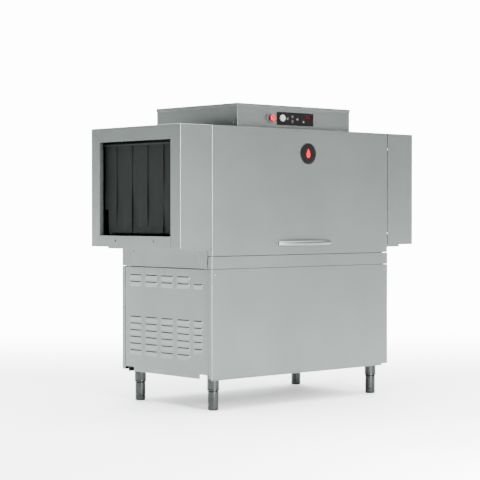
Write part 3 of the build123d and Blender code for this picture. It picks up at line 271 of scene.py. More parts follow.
@dataclass(frozen=True)
class Lamp:
    """A lit indicator behind smoked acrylic: a dim coloured glow."""

    name: str
    colour: str
    strength: float = 0.1

    def make(self) -> Material:
        """Builds the material: a glow that is a little uneven, as behind a diffuser."""
        material, shader = start_material(self.name)
        place = add_node(material, "TexCoord").outputs["Object"]
        glow = add_node(material, "TexNoise", inputs={"Vector": place, "Scale": 180.0, "Detail": 1.0})
        tone = linear(self.colour)
        dark = (tone[0] * 0.7, tone[1] * 0.7, tone[2] * 0.7, 1.0)
        colour = ramp(material, glow.outputs[0], [(0.3, dark), (0.7, tone)])
        material.node_tree.links.new(colour, shader.inputs["Base Color"])
        material.node_tree.links.new(colour, shader.inputs["Emission Color"])
        shader.inputs["Emission Strength"].default_value = self.strength
        shader.inputs["Roughness"].default_value = 0.2
        return material


@dataclass(frozen=True)
class WireRope:
    """Stainless wire rope 7 x 7: strands laid in a helix, which shows as slanted bands along the rope; the
    bands' dark and light tones are painted shade between the strands and painted highlight on them.
    """

    name: str = "stainless wire rope"
    # base: painted shade in the grooves between the strands; light: painted highlight on their crowns
    base: str = "#7F8381"
    light: str = "#C5C9C7"
    lay_mm: float = 4.5

    def make(self) -> Material:
        """Builds the material: slanted bands across the rope in bump, and in colour as painted highlight
        and shade.
        """
        material, shader = start_material(self.name)
        place = add_node(material, "TexCoord").outputs["Object"]
        bands = add_node(material, "TexWave", {"wave_type": "BANDS", "bands_direction": "DIAGONAL"}, {
            "Vector": place, "Scale": 0.31 / (self.lay_mm * MM), "Distortion": 0.4})
        bump = add_node(material, "Bump", inputs={
            "Height": bands.outputs[1], "Strength": 0.5, "Distance": 0.0004})
        links = material.node_tree.links
        # the bands' colour is painted shade and painted highlight, not a tone of the steel
        colour = ramp(material, bands.outputs[1], tones(self.base, self.light))
        links.new(colour, shader.inputs["Base Color"])
        links.new(bump.outputs[0], shader.inputs["Normal"])
        shader.inputs["Metallic"].default_value = 1.0
        shader.inputs["Roughness"].default_value = 0.38
        return material


def once(finish: Any) -> Any:
    """A dataclass field that holds a finish's material, built when the finishes are."""
    return field(default_factory=finish.make)


@dataclass
class Finishes:
    """Every finish of the machine, built once."""

    panel: Material = once(SatinStainless())
    upright: Material = once(SatinStainless(
        "stainless steel, satin, upright grain", grain=Grain.ALONG_Z))
    inner: Material = once(SatinStainless(
        "stainless steel, mill finish", "#646867", "#6E7271", Grain.ALONG_Y, roughness=0.32, cloud_mm=180))
    # dark with sharp upright lights, as on a polished tube
    chrome: Material = once(Speckled(
        "stainless steel tube, polished", "#2E3030", "#383A3A",
        metallic=1.0, roughness=0.2, spread=0.03, grain_mm=0.8, cloud_mm=40, bump=0.03, depth_mm=0.05))
    # painted shade: a dull dark ground behind the slots, far darker than bare gauze, that stands for the
    # shade inside the panel
    gauze: Material = once(Speckled(
        "stainless gauze, painted slot shade", "#1B1D1D", "#252727",
        metallic=0.3, roughness=0.6, grain_mm=1.2, bump=0.3, depth_mm=0.2))
    # turned heads and tubes, a little brighter than sheet
    fixing: Material = once(Speckled(
        "stainless steel, machined", "#6E7272", "#7E8282",
        metallic=1.0, roughness=0.28, spread=0.06, grain_mm=0.6, cloud_mm=8, bump=0.08, depth_mm=0.05))
    # nearly black and matt
    curtain: Material = once(Speckled(
        "EPDM rubber sheet", "#0B0E0D", "#0D100F",
        roughness=0.62, spread=0.05, grain_mm=2.2, cloud_mm=130, bump=0.12, depth_mm=0.25, specular=0.1))
    # a soft dark seal
    rubber: Material = once(Speckled(
        "silicone rubber, moulded", "#1C1D1E", "#26282A",
        roughness=0.6, grain_mm=1.2, cloud_mm=50, bump=0.15, depth_mm=0.2))
    # the fine pits of a cast skin
    cast_steel: Material = once(Speckled(
        "stainless steel, investment cast", "#8E9292", "#9DA1A1",
        metallic=0.95, roughness=0.5, grain_mm=1.3, bump=0.35, depth_mm=0.3))
    # a thin gloss over a cast skin
    paint: Material = once(Speckled(
        "aluminium casting, blue-grey enamel", "#3E4C5A", "#475666",
        metallic=0.1, roughness=0.4, spread=0.07, grain_mm=1.1, cloud_mm=70, bump=0.25, depth_mm=0.2,
        coat=0.2))
    # yellow metal with a grainy skin
    brass: Material = once(Speckled(
        "brass, turned and sand-cast", "#A98C4C", "#BFA264",
        metallic=1.0, roughness=0.36, spread=0.1, grain_mm=0.9, cloud_mm=25, bump=0.25, depth_mm=0.15))
    # milky white, cut on a machine
    nylon: Material = once(Speckled(
        "acetal, machined white", "#D9D9D2", "#E4E4DE",
        roughness=0.42, spread=0.05, grain_mm=0.9, cloud_mm=30, bump=0.1, depth_mm=0.1))
    # an even black film
    black: Material = once(Speckled(
        "polyester membrane, black", "#080607", "#0A0808",
        roughness=0.3, spread=0.04, grain_mm=0.7, bump=0.04, depth_mm=0.05, specular=0.12))
    # a fine leathery mould texture
    housing: Material = once(Speckled(
        "polyamide, moulded dark grey", "#2B2D30", "#36383B",
        roughness=0.5, spread=0.07, grain_mm=0.8, cloud_mm=30, bump=0.2, depth_mm=0.12))
    # deep glossy red
    red: Material = once(Speckled(
        "ABS, moulded signal red", "#8E0208", "#9A040B",
        roughness=0.3, spread=0.05, grain_mm=0.9, cloud_mm=25, bump=0.06, depth_mm=0.06, specular=0.3))
    # a pale, slightly shiny cap
    grey: Material = once(Speckled(
        "polycarbonate, moulded pale grey", "#6F756D", "#787E76",
        roughness=0.35, spread=0.05, grain_mm=0.9, cloud_mm=20, bump=0.05, depth_mm=0.06, specular=0.3))
    # thin matt print
    white: Material = once(Speckled(
        "screen ink, white", "#5E5F60", "#686969",
        roughness=0.5, spread=0.05, grain_mm=0.6, cloud_mm=10, bump=0.03, depth_mm=0.03, specular=0.2))
    # smooth, nearly black with a red tint
    window: Material = once(Speckled(
        "acrylic, smoked red", "#120406", "#160507",
        roughness=0.2, spread=0.02, grain_mm=0.8, cloud_mm=20, bump=0.02, depth_mm=0.03, specular=0.15))
    lamp: Material = once(Lamp("LED behind red acrylic", "#5A0D0C"))
    rope: Material = once(WireRope())


# ------------------------------------------------------------------------------ meshes from arrays
def cells(index: Array) -> Array:
    """The quads of a grid of point numbers, of shape (rows, columns): four corners for each cell."""
    return np.stack([index[:-1, :-1], index[1:, :-1], index[1:, 1:], index[:-1, 1:]], axis=-1)


def numbered(points: Array, loop: bool) -> Array:
    """The point numbers of a grid of points, with the first column again at the end of a loop."""
    index = np.arange(points.shape[0] * points.shape[1]).reshape(points.shape[:2])
    return np.hstack([index, index[:, :1]]) if loop else index


def grid_piece(name: str, points: Array, keep: Array | None = None, loop_v: bool = False,
               smooth_deg: float = 35.0, facing: Sequence[float] | None = None) -> Piece:
    """Makes a piece from a grid of points, where each cell of four neighbours becomes a quad.

    Args:
        name: the piece's name.
        points: array of shape (rows, columns, 3), in metres.
        keep: for each cell, whether it is there; all are when it is left out.
        loop_v: joins the last column to the first.
        smooth_deg: edges sharper than this stay sharp.
        facing: for an open sheet, the way its faces look.

    Returns:
        The object, at the origin, with its place in its mesh.
    """
    quads = cells(numbered(points, loop_v))
    if keep is not None:
        quads = quads[keep]
    return mesh_piece(name, points.reshape(-1, 3), quads.reshape(-1, 4), smooth_deg, facing)


def mesh_piece(name: str, points: Array, faces: Array | list, smooth_deg: float = 35.0,
               facing: Sequence[float] | None = None) -> Piece:
    """Makes a piece from points and faces, merges its doubles and drops what no face uses.

    Args:
        name: the piece's name.
        points: array of shape (n, 3), in metres.
        faces: indices of each face's corners.
        smooth_deg: edges sharper than this stay sharp.
        facing: for an open sheet, the way its faces look.

    Returns:
        The object, at the origin.
    """
    mesh = bpy.data.meshes.new(name)
    mesh.from_pydata(points.tolist(), [], [list(f) for f in faces])
    work = bmesh.new()
    work.from_mesh(mesh)
    bmesh.ops.remove_doubles(work, verts=work.verts, dist=1e-6)
    bmesh.ops.dissolve_degenerate(work, edges=work.edges, dist=1e-7)
    bmesh.ops.delete(work, geom=[v for v in work.verts if not v.link_faces], context="VERTS")
    bmesh.ops.recalc_face_normals(work, faces=work.faces)
    if facing is not None:
        outward = sum((f.normal * f.calc_area() for f in work.faces), Vector())
        if outward.dot(Vector(facing)) < 0:
            bmesh.ops.reverse_faces(work, faces=work.faces)
    work.to_mesh(mesh)
    work.free()
    mesh.polygons.foreach_set("use_smooth", np.ones(len(mesh.polygons), bool))
    mesh.set_sharp_from_angle(angle=math.radians(smooth_deg))
    piece = bpy.data.objects.new(name, mesh)
    bpy.context.scene.collection.objects.link(piece)
    return piece


def joined(name: str, pieces: list[Piece]) -> Piece:
    """Joins the meshes of several pieces into one object and removes them.

    Args:
        name: the new piece's name.
        pieces: the pieces, in the order in which their points are taken.

    Returns:
        The joined piece.
    """
    points: list[list[float]] = []
    faces: list[list[int]] = []
    for piece in pieces:
        start = len(points)
        points += [list(v.co) for v in piece.data.vertices]
        faces += [[start + i for i in p.vertices] for p in piece.data.polygons]
        bpy.data.objects.remove(piece)
    return mesh_piece(name, np.array(points), faces)


def basis(axis: Sequence[float]) -> tuple[Array, Array, Array]:
    """Three perpendicular unit vectors, the last one along an axis."""
    w = np.array(axis, float) / np.linalg.norm(axis)
    helper = np.array([0.0, 0.0, 1.0]) if abs(w[2]) < 0.9 else np.array([1.0, 0.0, 0.0])
    u = np.cross(helper, w)
    u /= np.linalg.norm(u)
    return u, np.cross(w, u), w


def lathe(name: str, profile: Sequence[tuple[float, float]], centre: Sequence[float], axis: Sequence[float],
          steps: int = 48, wave: Array | None = None) -> Piece:
    """Turns a profile about an axis: a point is centre + r (cos a U + sin a V) + h W.

    Args:
        name: the piece's name.
        profile: (radius, height) pairs in metres, from one end on the axis to the other.
        centre: where height is zero.
        axis: the direction of growing height, W; U and V are square to it.
        steps: points round the axis.
        wave: a factor on the radius for each step and profile point, for flutes, flats and fins.

    Returns:
        The piece.
    """
    u, v, w = basis(axis)
    angle = np.linspace(0, 2 * np.pi, steps, endpoint=False)
    radius, height = np.array(profile, float).T
    spread = radius[:, None] * (np.ones((len(radius), steps)) if wave is None else wave)
    ring = np.cos(angle)[None, :, None] * u + np.sin(angle)[None, :, None] * v
    points = np.array(centre) + spread[:, :, None] * ring + height[:, None, None] * w
    return grid_piece(name, points, loop_v=True)


def rounded_box(name: str, low: Sequence[float], high: Sequence[float], radius: float, steps: int = 3
                ) -> Piece:
    """A box with rounded edges: a small sphere's octants moved out to the box's corners.

    A point is corner + radius n, where n runs over the sphere by longitude and latitude, and the corner is
    the inner box's corner in n's octant. The poles close into flat faces.

    Args:
        name: the piece's name.
        low: lowest corner.
        high: highest corner.
        radius: edge radius.
        steps: divisions of each rounded quarter.

    Returns:
        The piece.
    """
    quarter = np.linspace(0, np.pi / 2, steps + 1)
    longitude = np.concatenate([quarter + k * np.pi / 2 for k in range(4)])
    sign_x = np.repeat([1.0, -1.0, -1.0, 1.0], steps + 1)
    sign_y = np.repeat([1.0, 1.0, -1.0, -1.0], steps + 1)
    latitude = np.concatenate([quarter - np.pi / 2, quarter])
    sign_z = np.repeat([-1.0, 1.0], steps + 1)
    middle = (np.array(low) + np.array(high)) / 2
    inner = (np.array(high) - np.array(low)) / 2 - radius
    shape = (len(latitude), len(longitude))
    flat = np.cos(latitude)[:, None]
    points = np.empty(shape + (3,))
    points[..., 0] = middle[0] + sign_x * inner[0] + radius * flat * np.cos(longitude)
    points[..., 1] = middle[1] + sign_y * inner[1] + radius * flat * np.sin(longitude)
    points[..., 2] = (middle[2] + sign_z * inner[2] + radius * np.sin(latitude))[:, None]
    index = numbered(points, True)
    faces = cells(index)[..., [0, 3, 2, 1]].reshape(-1, 4).tolist()
    corners = [k * (steps + 1) for k in range(4)]
    faces += [index[0, corners[::-1]].tolist(), index[-1, corners].tolist()]
    return mesh_piece(name, points.reshape(-1, 3), faces)


def swept(name: str, path: Array, across: Array, up: Array, section: Array) -> Piece:
    """Carries a closed section along a path: a point is path + a across + b up, with a face at each end.

    Args:
        name: the piece's name.
        path: array (n, 3) of the path's points.
        across: the section's first direction, one for all points or one for each.
        up: the section's second direction, the same way.
        section: array (m, 2) of the section's outline.

    Returns:
        The piece.
    """
    across = np.broadcast_to(across, path.shape)
    up = np.broadcast_to(up, path.shape)
    sideways = section[None, :, :1] * across[:, None, :]
    upwards = section[None, :, 1:] * up[:, None, :]
    points = path[:, None, :] + sideways + upwards
    ring = numbered(points, True)
    faces = cells(ring).reshape(-1, 4).tolist()
    faces += [ring[0, :-1].tolist(), ring[-1, -2::-1].tolist()]
    return mesh_piece(name, points.reshape(-1, 3), faces)


def oval(half_a: float, half_b: float, steps: int = 20) -> Array:
    """The outline of an ellipse, as (a cos t, b sin t)."""
    t = np.linspace(0, 2 * np.pi, steps, endpoint=False)
    return np.stack([half_a * np.cos(t), half_b * np.sin(t)], axis=1)


def level_normals(piece: Piece) -> None:
    """Turns the shading of each edge towards the larger face beside it, so that flat sheets look flat."""
    level = piece.modifiers.new("level", "WEIGHTED_NORMAL")
    level.weight = 100
    level.keep_sharp = True


def dress(piece: Piece, finish: Material, slot: str, body: str, *nodes: str
          ) -> Piece:
    """Gives a piece its finish and the body that carries it, hides the frame's nodes that it stands for and
    levels its shading.

    Args:
        piece: the piece.
        finish: its material.
        slot: a slot name for that material; not used.
        body: the body that carries the piece.
        nodes: the frame's nodes that it stands for.

    Returns:
        The same piece.
    """
    piece.data.materials.clear()
    piece.data.materials.append(finish)
    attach(piece, body)
    if nodes:
        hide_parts(*nodes)
    level_normals(piece)
    LOG.info("%s on %s: %d faces", piece.name, body, len(piece.data.polygons))
    return piece


def span(node: str) -> tuple[Array, Array]:
    """The lowest and highest corner of a frame node, as arrays."""
    low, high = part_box(node)
    return np.array(low), np.array(high)


# ------------------------------------------------------------------------------ side panels
LOUVRE_END_MM = (0.0, 0.4, 1.0, 1.9, 3.2, 5.0)
LOUVRE_RISE = (-0.06, 0.0, 0.08, 0.2, 0.4, 0.6, 0.8, 0.93, 1.0)


@dataclass
class LouvredPanel:
    """A side panel of thin sheet with pressed louvres, each open along its upper edge."""

    side: int
    name: str
    finish: Material
    press: float = 5.0 * MM
    louvre_tall: float = 24 * MM
    slot: float = 4.0 * MM
    row_pitch: float = 35.6 * MM
    column_pitch: float = 131 * MM
    long: float = 97 * MM
    short: float = 67 * MM
    columns: int = 5
    face: float = 0.645
    apron_foot: float = 0.719
    apron_top: float = 0.810
    apron_y: tuple[float, float] = (-0.288, 0.280)
    apron_sheet: float = 1.5 * MM
    screen_x: tuple[float, float] = (0.6415, 0.6425)
    border: float = 3 * MM
    first_column: float = 89 * MM
    upper_rows: float = 44 * MM
    lower_rows: float = 265 * MM

    def louvres(self) -> list[tuple[float, float, float]]:
        """Places of the louvres.

        Returns:
            For each louvre the middle along Y, the upper edge along Z and the length.
        """
        low, high = span(f"{self.name}_side_panel")
        top = self.apron_foot - self.border
        places = []
        for column in range(self.columns):
            foremost = column == self.columns - 1
            length = self.short if foremost else self.long
            middle = high[1] - self.first_column - column * self.column_pitch + (self.long - length) / 2
            for row in range(2):
                if row or not foremost:
                    places.append((middle, top - self.upper_rows - row * self.row_pitch, length))
            for row in range(6):
                if row < 5 or not foremost:
                    places.append((middle, top - self.lower_rows - row * self.row_pitch, length))
        return places

    def build(self) -> Piece:
        """Presses the louvres into the sheet.

        The sheet is a grid over (y, z). A louvre rises by press (1 - (1 - e)^2.4) sin(pi u / 2)^1.1: e goes
        from 0 to 1 over the few millimetres at each end, and u from 0 at the lower foot to 1 at the lip.
        Each lip stands free of the sheet above it: the cells between are left out, so the slot is open.

        Returns:
            The panel with its rolled upright edges, thickened to the sheet.
        """
        low, high = span(f"{self.name}_side_panel")
        top = self.apron_foot - self.border
        places = self.louvres()
        lips = sorted({round(z, 6) for _, z, _ in places})
        z_lines = [np.array([low[2], low[2] + self.border])]
        for lip in lips:
            foot = lip - self.louvre_tall
            z_lines += [foot + self.louvre_tall * np.array(LOUVRE_RISE),
                        np.array([lip + 0.02 * MM, lip + self.slot])]
        z_lines.append(np.array([top - self.border, top]))
        z = np.unique(np.concatenate(z_lines).round(7))
        y_lines = [np.array([low[1], low[1] + self.border, high[1] - self.border, high[1]])]
        ends = np.array(LOUVRE_END_MM) * MM
        for middle, length in sorted({(m, n) for m, _, n in places}):
            y_lines += [middle - length / 2 + ends, middle + length / 2 - ends]
        y = np.unique(np.concatenate(y_lines).round(7))
        zz, yy = np.meshgrid(z, y, indexing="ij")
        rise = np.zeros_like(zz)
        gone = np.zeros((len(z) - 1, len(y) - 1), bool)
        z_mid = (z[:-1] + z[1:]) / 2
        y_mid = (y[:-1] + y[1:]) / 2
        for middle, lip, length in places:
            reach = length / 2 - np.abs(yy - middle)
            along = np.clip(reach / ends[-1], 0, 1)
            up = np.clip((zz - lip + self.louvre_tall) / self.louvre_tall, 0, 1)
            shape = (1 - (1 - along) ** 2.4) * np.sin(up * np.pi / 2) ** 1.1
            inside = (reach > 1e-6) & (zz <= lip + 0.001 * MM) & (zz > lip - self.louvre_tall)
            rise = np.where(inside, np.maximum(rise, self.press * shape), rise)
            slot_row = (z_mid > lip) & (z_mid < lip + self.slot)
            slot_column = np.abs(y_mid - middle) < length / 2 - self.border
            gone |= slot_row[:, None] & slot_column[None, :]
        edge = 2.5 * MM
        near = np.minimum(yy - low[1], high[1] - yy)
        rise -= np.where(near < edge, (edge - near) ** 2 / (2 * edge), 0)
        x = self.side * (self.face + rise)
        points = np.stack([x, yy, zz], axis=-1)
        panel = grid_piece(f"{self.name}_louvred_panel", points, ~gone, smooth_deg=50,
                           facing=(self.side, 0, 0))
        wall = panel.modifiers.new("sheet", "SOLIDIFY")
        wall.thickness = 1.2 * MM
        wall.offset = -1.0
        return dress(panel, self.finish, "panel_steel", "machine", f"{self.name}_side_panel")

    def screen(self, finish: Material) -> Piece:
        """The fly screen behind the louvres, a flat gauze 1 mm thick between panel and frame, dark with
        painted shade so that the open slots look into shade.
        """
        low, high = span(f"{self.name}_side_panel")
        x = sorted(self.side * reach for reach in self.screen_x)
        gauze = rounded_box(f"{self.name}_louvre_screen", (x[0], low[1] + 20 * MM, low[2] + 30 * MM),
                            (x[1], high[1] - 20 * MM, self.apron_foot - 8 * MM), 0.4 * MM, 2)
        return dress(gauze, finish, "panel_steel", "machine")

    def apron(self) -> Piece:
        """The plain plate over the panel, under the hood, with folded-in edges."""
        x = sorted((self.side * self.face, self.side * (self.face + self.apron_sheet)))
        plate = rounded_box(f"{self.name}_apron_plate", (x[0], self.apron_y[0], self.apron_foot),
                            (x[1], self.apron_y[1], self.apron_top), 0.6 * MM, 2)
        return dress(plate, self.finish, "panel_steel", "machine")


# ------------------------------------------------------------------------------ legs
@dataclass
class Legs:
    """Four legs: a plate and sleeve fixed to the frame, and a foot that screws in and out of it."""

    finish: Material
    sleeve_radius: float = 31 * MM
    foot_radius: float = 27.5 * MM
    plate: float = 35 * MM
    plate_z: tuple[float, float] = (0.184, 0.190)

    def build(self) -> list[Piece]:
        """Turns sleeves and feet about their own axes, and lays a rounded plate on each sleeve."""
        made = []
        sleeves = []
        for name in ("front_left", "front_right", "rear_left", "rear_right"):
            foot_low, foot_high = span(f"foot_{name}")
            x, y = ((foot_low + foot_high) / 2)[:2]
            r = self.sleeve_radius
            profile = [(0.0100, 0.099), (0.0286, 0.099), (0.0302, 0.0996), (r, 0.1012), (r, 0.1075),
                       (0.0303, 0.1085), (0.0303, 0.1095), (r, 0.1105), (r, 0.1805), (0.0302, 0.184),
                       (0.0100, 0.184), (0.0100, 0.099)]
            sleeves.append(lathe(f"sleeve_{name}", profile, (x, y, 0), UPWARD, 64))
            sleeves.append(rounded_box(f"plate_{name}", (x - self.plate, y - self.plate, self.plate_z[0]),
                                       (x + self.plate, y + self.plate, self.plate_z[1]), 1.2 * MM))
            made.append(self.foot(name, float(x), float(y)))
        made.append(dress(joined("leg_sleeves_turned", sleeves), self.finish, "leg_chrome", "machine",
                          "leg_sleeves"))
        return made

    def foot(self, name: str, x: float, y: float) -> Piece:
        """A foot turned about its axis: rounded sole, a shallow groove round it and the threaded stem.

        The thread is a saw of small steps in the profile, not a helix.

        Args:
            name: front or rear, left or right.
            x: its axis.
            y: its axis.

        Returns:
            The foot.
        """
        r = self.foot_radius
        profile = [(0.0, 0.0), (r - 0.006, 0.0), (r - 0.0025, 0.0012), (r - 0.0005, 0.004), (r, 0.008),
                   (r, 0.0245), (r - 0.0012, 0.026), (r - 0.0012, 0.028), (r, 0.0295), (r, 0.0935),
                   (r - 0.001, 0.0968), (r - 0.0035, 0.098), (0.0098, 0.098)]
        for turn in range(12):
            profile += [(0.0085, 0.0995 + turn * 0.004), (0.0099, 0.1015 + turn * 0.004)]
        profile += [(0.0088, 0.150), (0.0, 0.150)]
        foot = lathe(f"foot_{name}_turned", profile, (x, y, 0), UPWARD, 64)
        return dress(foot, self.finish, "leg_chrome", f"foot_{name}", f"foot_{name}")


# ------------------------------------------------------------------------------ strip curtains
@dataclass
class StripCurtain:
    """A splash curtain at a rack mouth: rubber strips on a hem that turns on the rod."""

    side: int
    name: str
    finish: Material
    strips: int = 8
    seed: int = 4
    rod_reach: float = 0.815
    rod_z: float = 1.352
    top: float = 1.3485
    flap_foot: float = 1.018
    mouth_half: float = 0.256
    overlap: float = 4 * MM
    layer: float = 1.6 * MM

    def build(self) -> Piece:
        """Hangs overlapping strips from the hem.

        A strip's point is the hem's line, plus a slow wave out of the plane, a lean and a curl of its long
        edges: x = a sin(2.2 pi s + p) s + b s^2 + c e^2 s, with s the way down and e the way across.

        Returns:
            The curtain as one piece, thickened to the sheet.
        """
        rng = np.random.default_rng(self.seed + self.side)
        low, high = span(self.name)
        rod_x = self.side * self.rod_reach
        top, bottom = self.top, low[2]
        wide, narrow = high[1], self.mouth_half
        edges = np.linspace(-narrow, narrow, self.strips + 1)
        pieces = []
        for k in range(self.strips):
            left = edges[k] - (self.overlap if k else 0)
            right = edges[k + 1] + (self.overlap if k < self.strips - 1 else 0)
            layer = (self.layer if k % 2 else -self.layer) * self.side
            pieces.append(self.strip(k, rod_x, left, right, top, bottom, layer, rng))
        for sign in (-1, 1):
            flap = sorted((sign * (narrow - self.overlap), sign * wide))
            pieces.append(self.strip(20 + sign, rod_x, flap[0], flap[1], top, self.flap_foot,
                                     -self.layer * self.side, rng))
        hem = lathe("hem", [(0.0, -wide), (0.0062, -wide), (0.0078, -wide + 0.001), (0.0078, wide - 0.001),
                            (0.0062, wide), (0.0, wide)], (rod_x, 0, self.rod_z), (0, 1, 0), 28)
        pieces.append(hem)
        curtain = joined(f"{self.name}_strips", pieces)
        return dress(curtain, self.finish, "curtain_rubber", self.name, self.name)

    def strip(self, number: int, rod_x: float, left: float, right: float, top: float, bottom: float,
              layer: float, rng: np.random.Generator) -> Piece:
        """One strip as a closed sheet, 2 mm thick, with rounded corners at its foot.

        Args:
            number: the strip's number, for its name.
            rod_x: the rod's place along X.
            left: its lower edge along Y.
            right: its upper edge along Y.
            top: its highest point.
            bottom: its lowest point.
            layer: how far its middle stands from the rod along X.
            rng: draws the wave's phase, the lean and the curl, in that order.

        Returns:
            The strip.
        """
        across = np.linspace(-1, 1, 9)
        down = np.linspace(0, 1, 26)
        ss, ee = np.meshgrid(down, across, indexing="ij")
        phase, lean, curl = rng.uniform(0, 6.28), rng.uniform(-1, 1), rng.uniform(0.3, 1.0)
        wave = (0.0022 * np.sin(2.2 * np.pi * ss + phase) * ss + 0.002 * lean * ss ** 2
                + 0.0012 * curl * ee ** 2 * ss)
        wave = np.clip(wave, -0.0035, 0.0035)
        foot = 0.006 * (1 - np.sqrt(np.clip(1 - np.clip((np.abs(ee) - 0.82) / 0.18, 0, 1) ** 2, 0, 1)))
        z = top + (bottom - top + foot) * ss
        y = (left + right) / 2 + (right - left) / 2 * ee
        front = np.stack([rod_x + layer + wave + 0.001, y, z], axis=-1)
        back = front - np.array([0.002, 0, 0])
        shell = np.concatenate([front, back[:, ::-1]], axis=1)
        quads = cells(numbered(shell, True)).reshape(-1, 4).tolist()
        index = numbered(shell, False)
        half = shell.shape[1] // 2
        for row in (0, -1):
            near, far = index[row, :half], index[row, :half - 1:-1]
            quads += np.stack([near[:-1], near[1:], far[1:], far[:-1]], -1).tolist()
        return mesh_piece(f"strip_{number}", shell.reshape(-1, 3), quads)


# ------------------------------------------------------------------------------ door
@dataclass
class DoorTrim:
    """The lifting door's handle and badge."""

    panel: Material
    fixing: Material
    black: Material
    red: Material
    badge_radius: float = 57 * MM

    def handle(self) -> Piece:
        """Bows an oval tube out from the door: the depth follows a cosine that is flat at the middle.

        Returns:
            The handle with a flange at each end.
        """
        low, high = span("door_handle")
        half = (high[0] - low[0]) / 2 - 0.012
        z = (low[2] + high[2]) / 2
        t = np.linspace(-1, 1, 65)
        depth = np.abs(low[1] - high[1]) - 0.0115
        y = high[1] - depth * (1 - np.abs(t) ** 2.6)
        path = np.stack([half * t, np.minimum(y, high[1] - 0.0005), np.full_like(t, z)], axis=1)
        ahead = np.gradient(path, axis=0)
        ahead /= np.linalg.norm(ahead, axis=1, keepdims=True)
        up = np.array([0.0, 0.0, 1.0])
        across = np.cross(up, ahead)
        tube = swept("tube", path, across, up, oval(0.0105, 0.0145, 24))
        ends = [rounded_box(f"flange_{k}", (sign * half - 0.011, high[1] - 0.004, z - 0.0148),
                            (sign * half + 0.011, high[1], z + 0.0148), 0.0015)
                for k, sign in enumerate((-1, 1))]
        return dress(joined("door_handle_tube", [tube, *ends]), self.panel, "panel_steel", "door",
                     "door_handle")

    def badge(self) -> list[Piece]:
        """A plain round badge: black disc, bright rim and a red drop, which stands for no maker.

        The drop's outline is a circle whose upper half is drawn out to a point: half width
        a sin t ((1 - cos t) / 2)^0.6 over the height b cos t.

        Returns:
            Disc, rim and drop.
        """
        low, high = span("door_badge")
        x, z = (low[0] + high[0]) / 2, (low[2] + high[2]) / 2
        back, r = high[1], self.badge_radius
        axis = FORWARD
        disc = lathe("badge_disc", [(0.0, 0.0), (r - 0.004, 0.0), (r - 0.004, 0.0019), (r - 0.012, 0.0022),
                                    (0.0, 0.0024)], (x, back, z), axis, 72)
        rim = lathe("badge_rim", [(r - 0.0042, 0.0), (r, 0.0), (r, 0.0018), (r - 0.0012, 0.0029),
                                  (r - 0.0032, 0.0029), (r - 0.0042, 0.002), (r - 0.0042, 0.0)],
                    (x, back, z), axis, 72)
        t = np.linspace(0, np.pi, 25)
        half = 0.0195 * np.sin(t) * ((1 - np.cos(t)) / 2) ** 0.6
        up = 0.026 * np.cos(t) + 0.004
        outline = np.concatenate([np.stack([half, up], 1), np.stack([-half, up], 1)[-2:0:-1]])
        rings = [(1.0, 0.0021), (1.0, 0.0026), (0.94, 0.0029), (0.0, 0.0030)]
        drop = np.stack([np.stack([x + s * outline[:, 0], np.full(len(outline), back - d),
                                   z + s * outline[:, 1]], axis=-1) for s, d in rings])
        drop_piece = grid_piece("badge_drop", drop, loop_v=True, facing=FORWARD)
        return [dress(disc, self.black, "badge_black", "door", "door_badge"),
                dress(rim, self.fixing, "panel_steel", "door"),
                dress(drop_piece, self.red, "stop_red", "door")]


# ------------------------------------------------------------------------------ control panel
KEYS = {"stop": (-0.057, 1.497), "up": (-0.022, 1.508), "down": (-0.020, 1.482), "select": (0.015, 1.496),
        "drain": (0.060, 1.483)}
KEY_CORNERS_DEG = {"stop": [45, 135, 225, 315], "up": [90, 210, 330], "down": [270, 30, 150],
                   "select": list(range(0, 360, 20)), "drain": [90, 160, 200, 240, 270, 300, 340, 20]}
SEGMENTS = {"6": "acdefg", "0": "abcdef"}
# for each segment its steps across and up from the digit's middle, and whether it lies level
SEGMENT_PLACES = {"a": (0, 2, True), "b": (1, 1, False), "c": (1, -1, False), "d": (0, -2, True),
                  "e": (-1, -1, False), "f": (-1, 1, False), "g": (0, 0, True)}
WINDOW = ((0.066, 1.4955), (0.124, 1.5195))


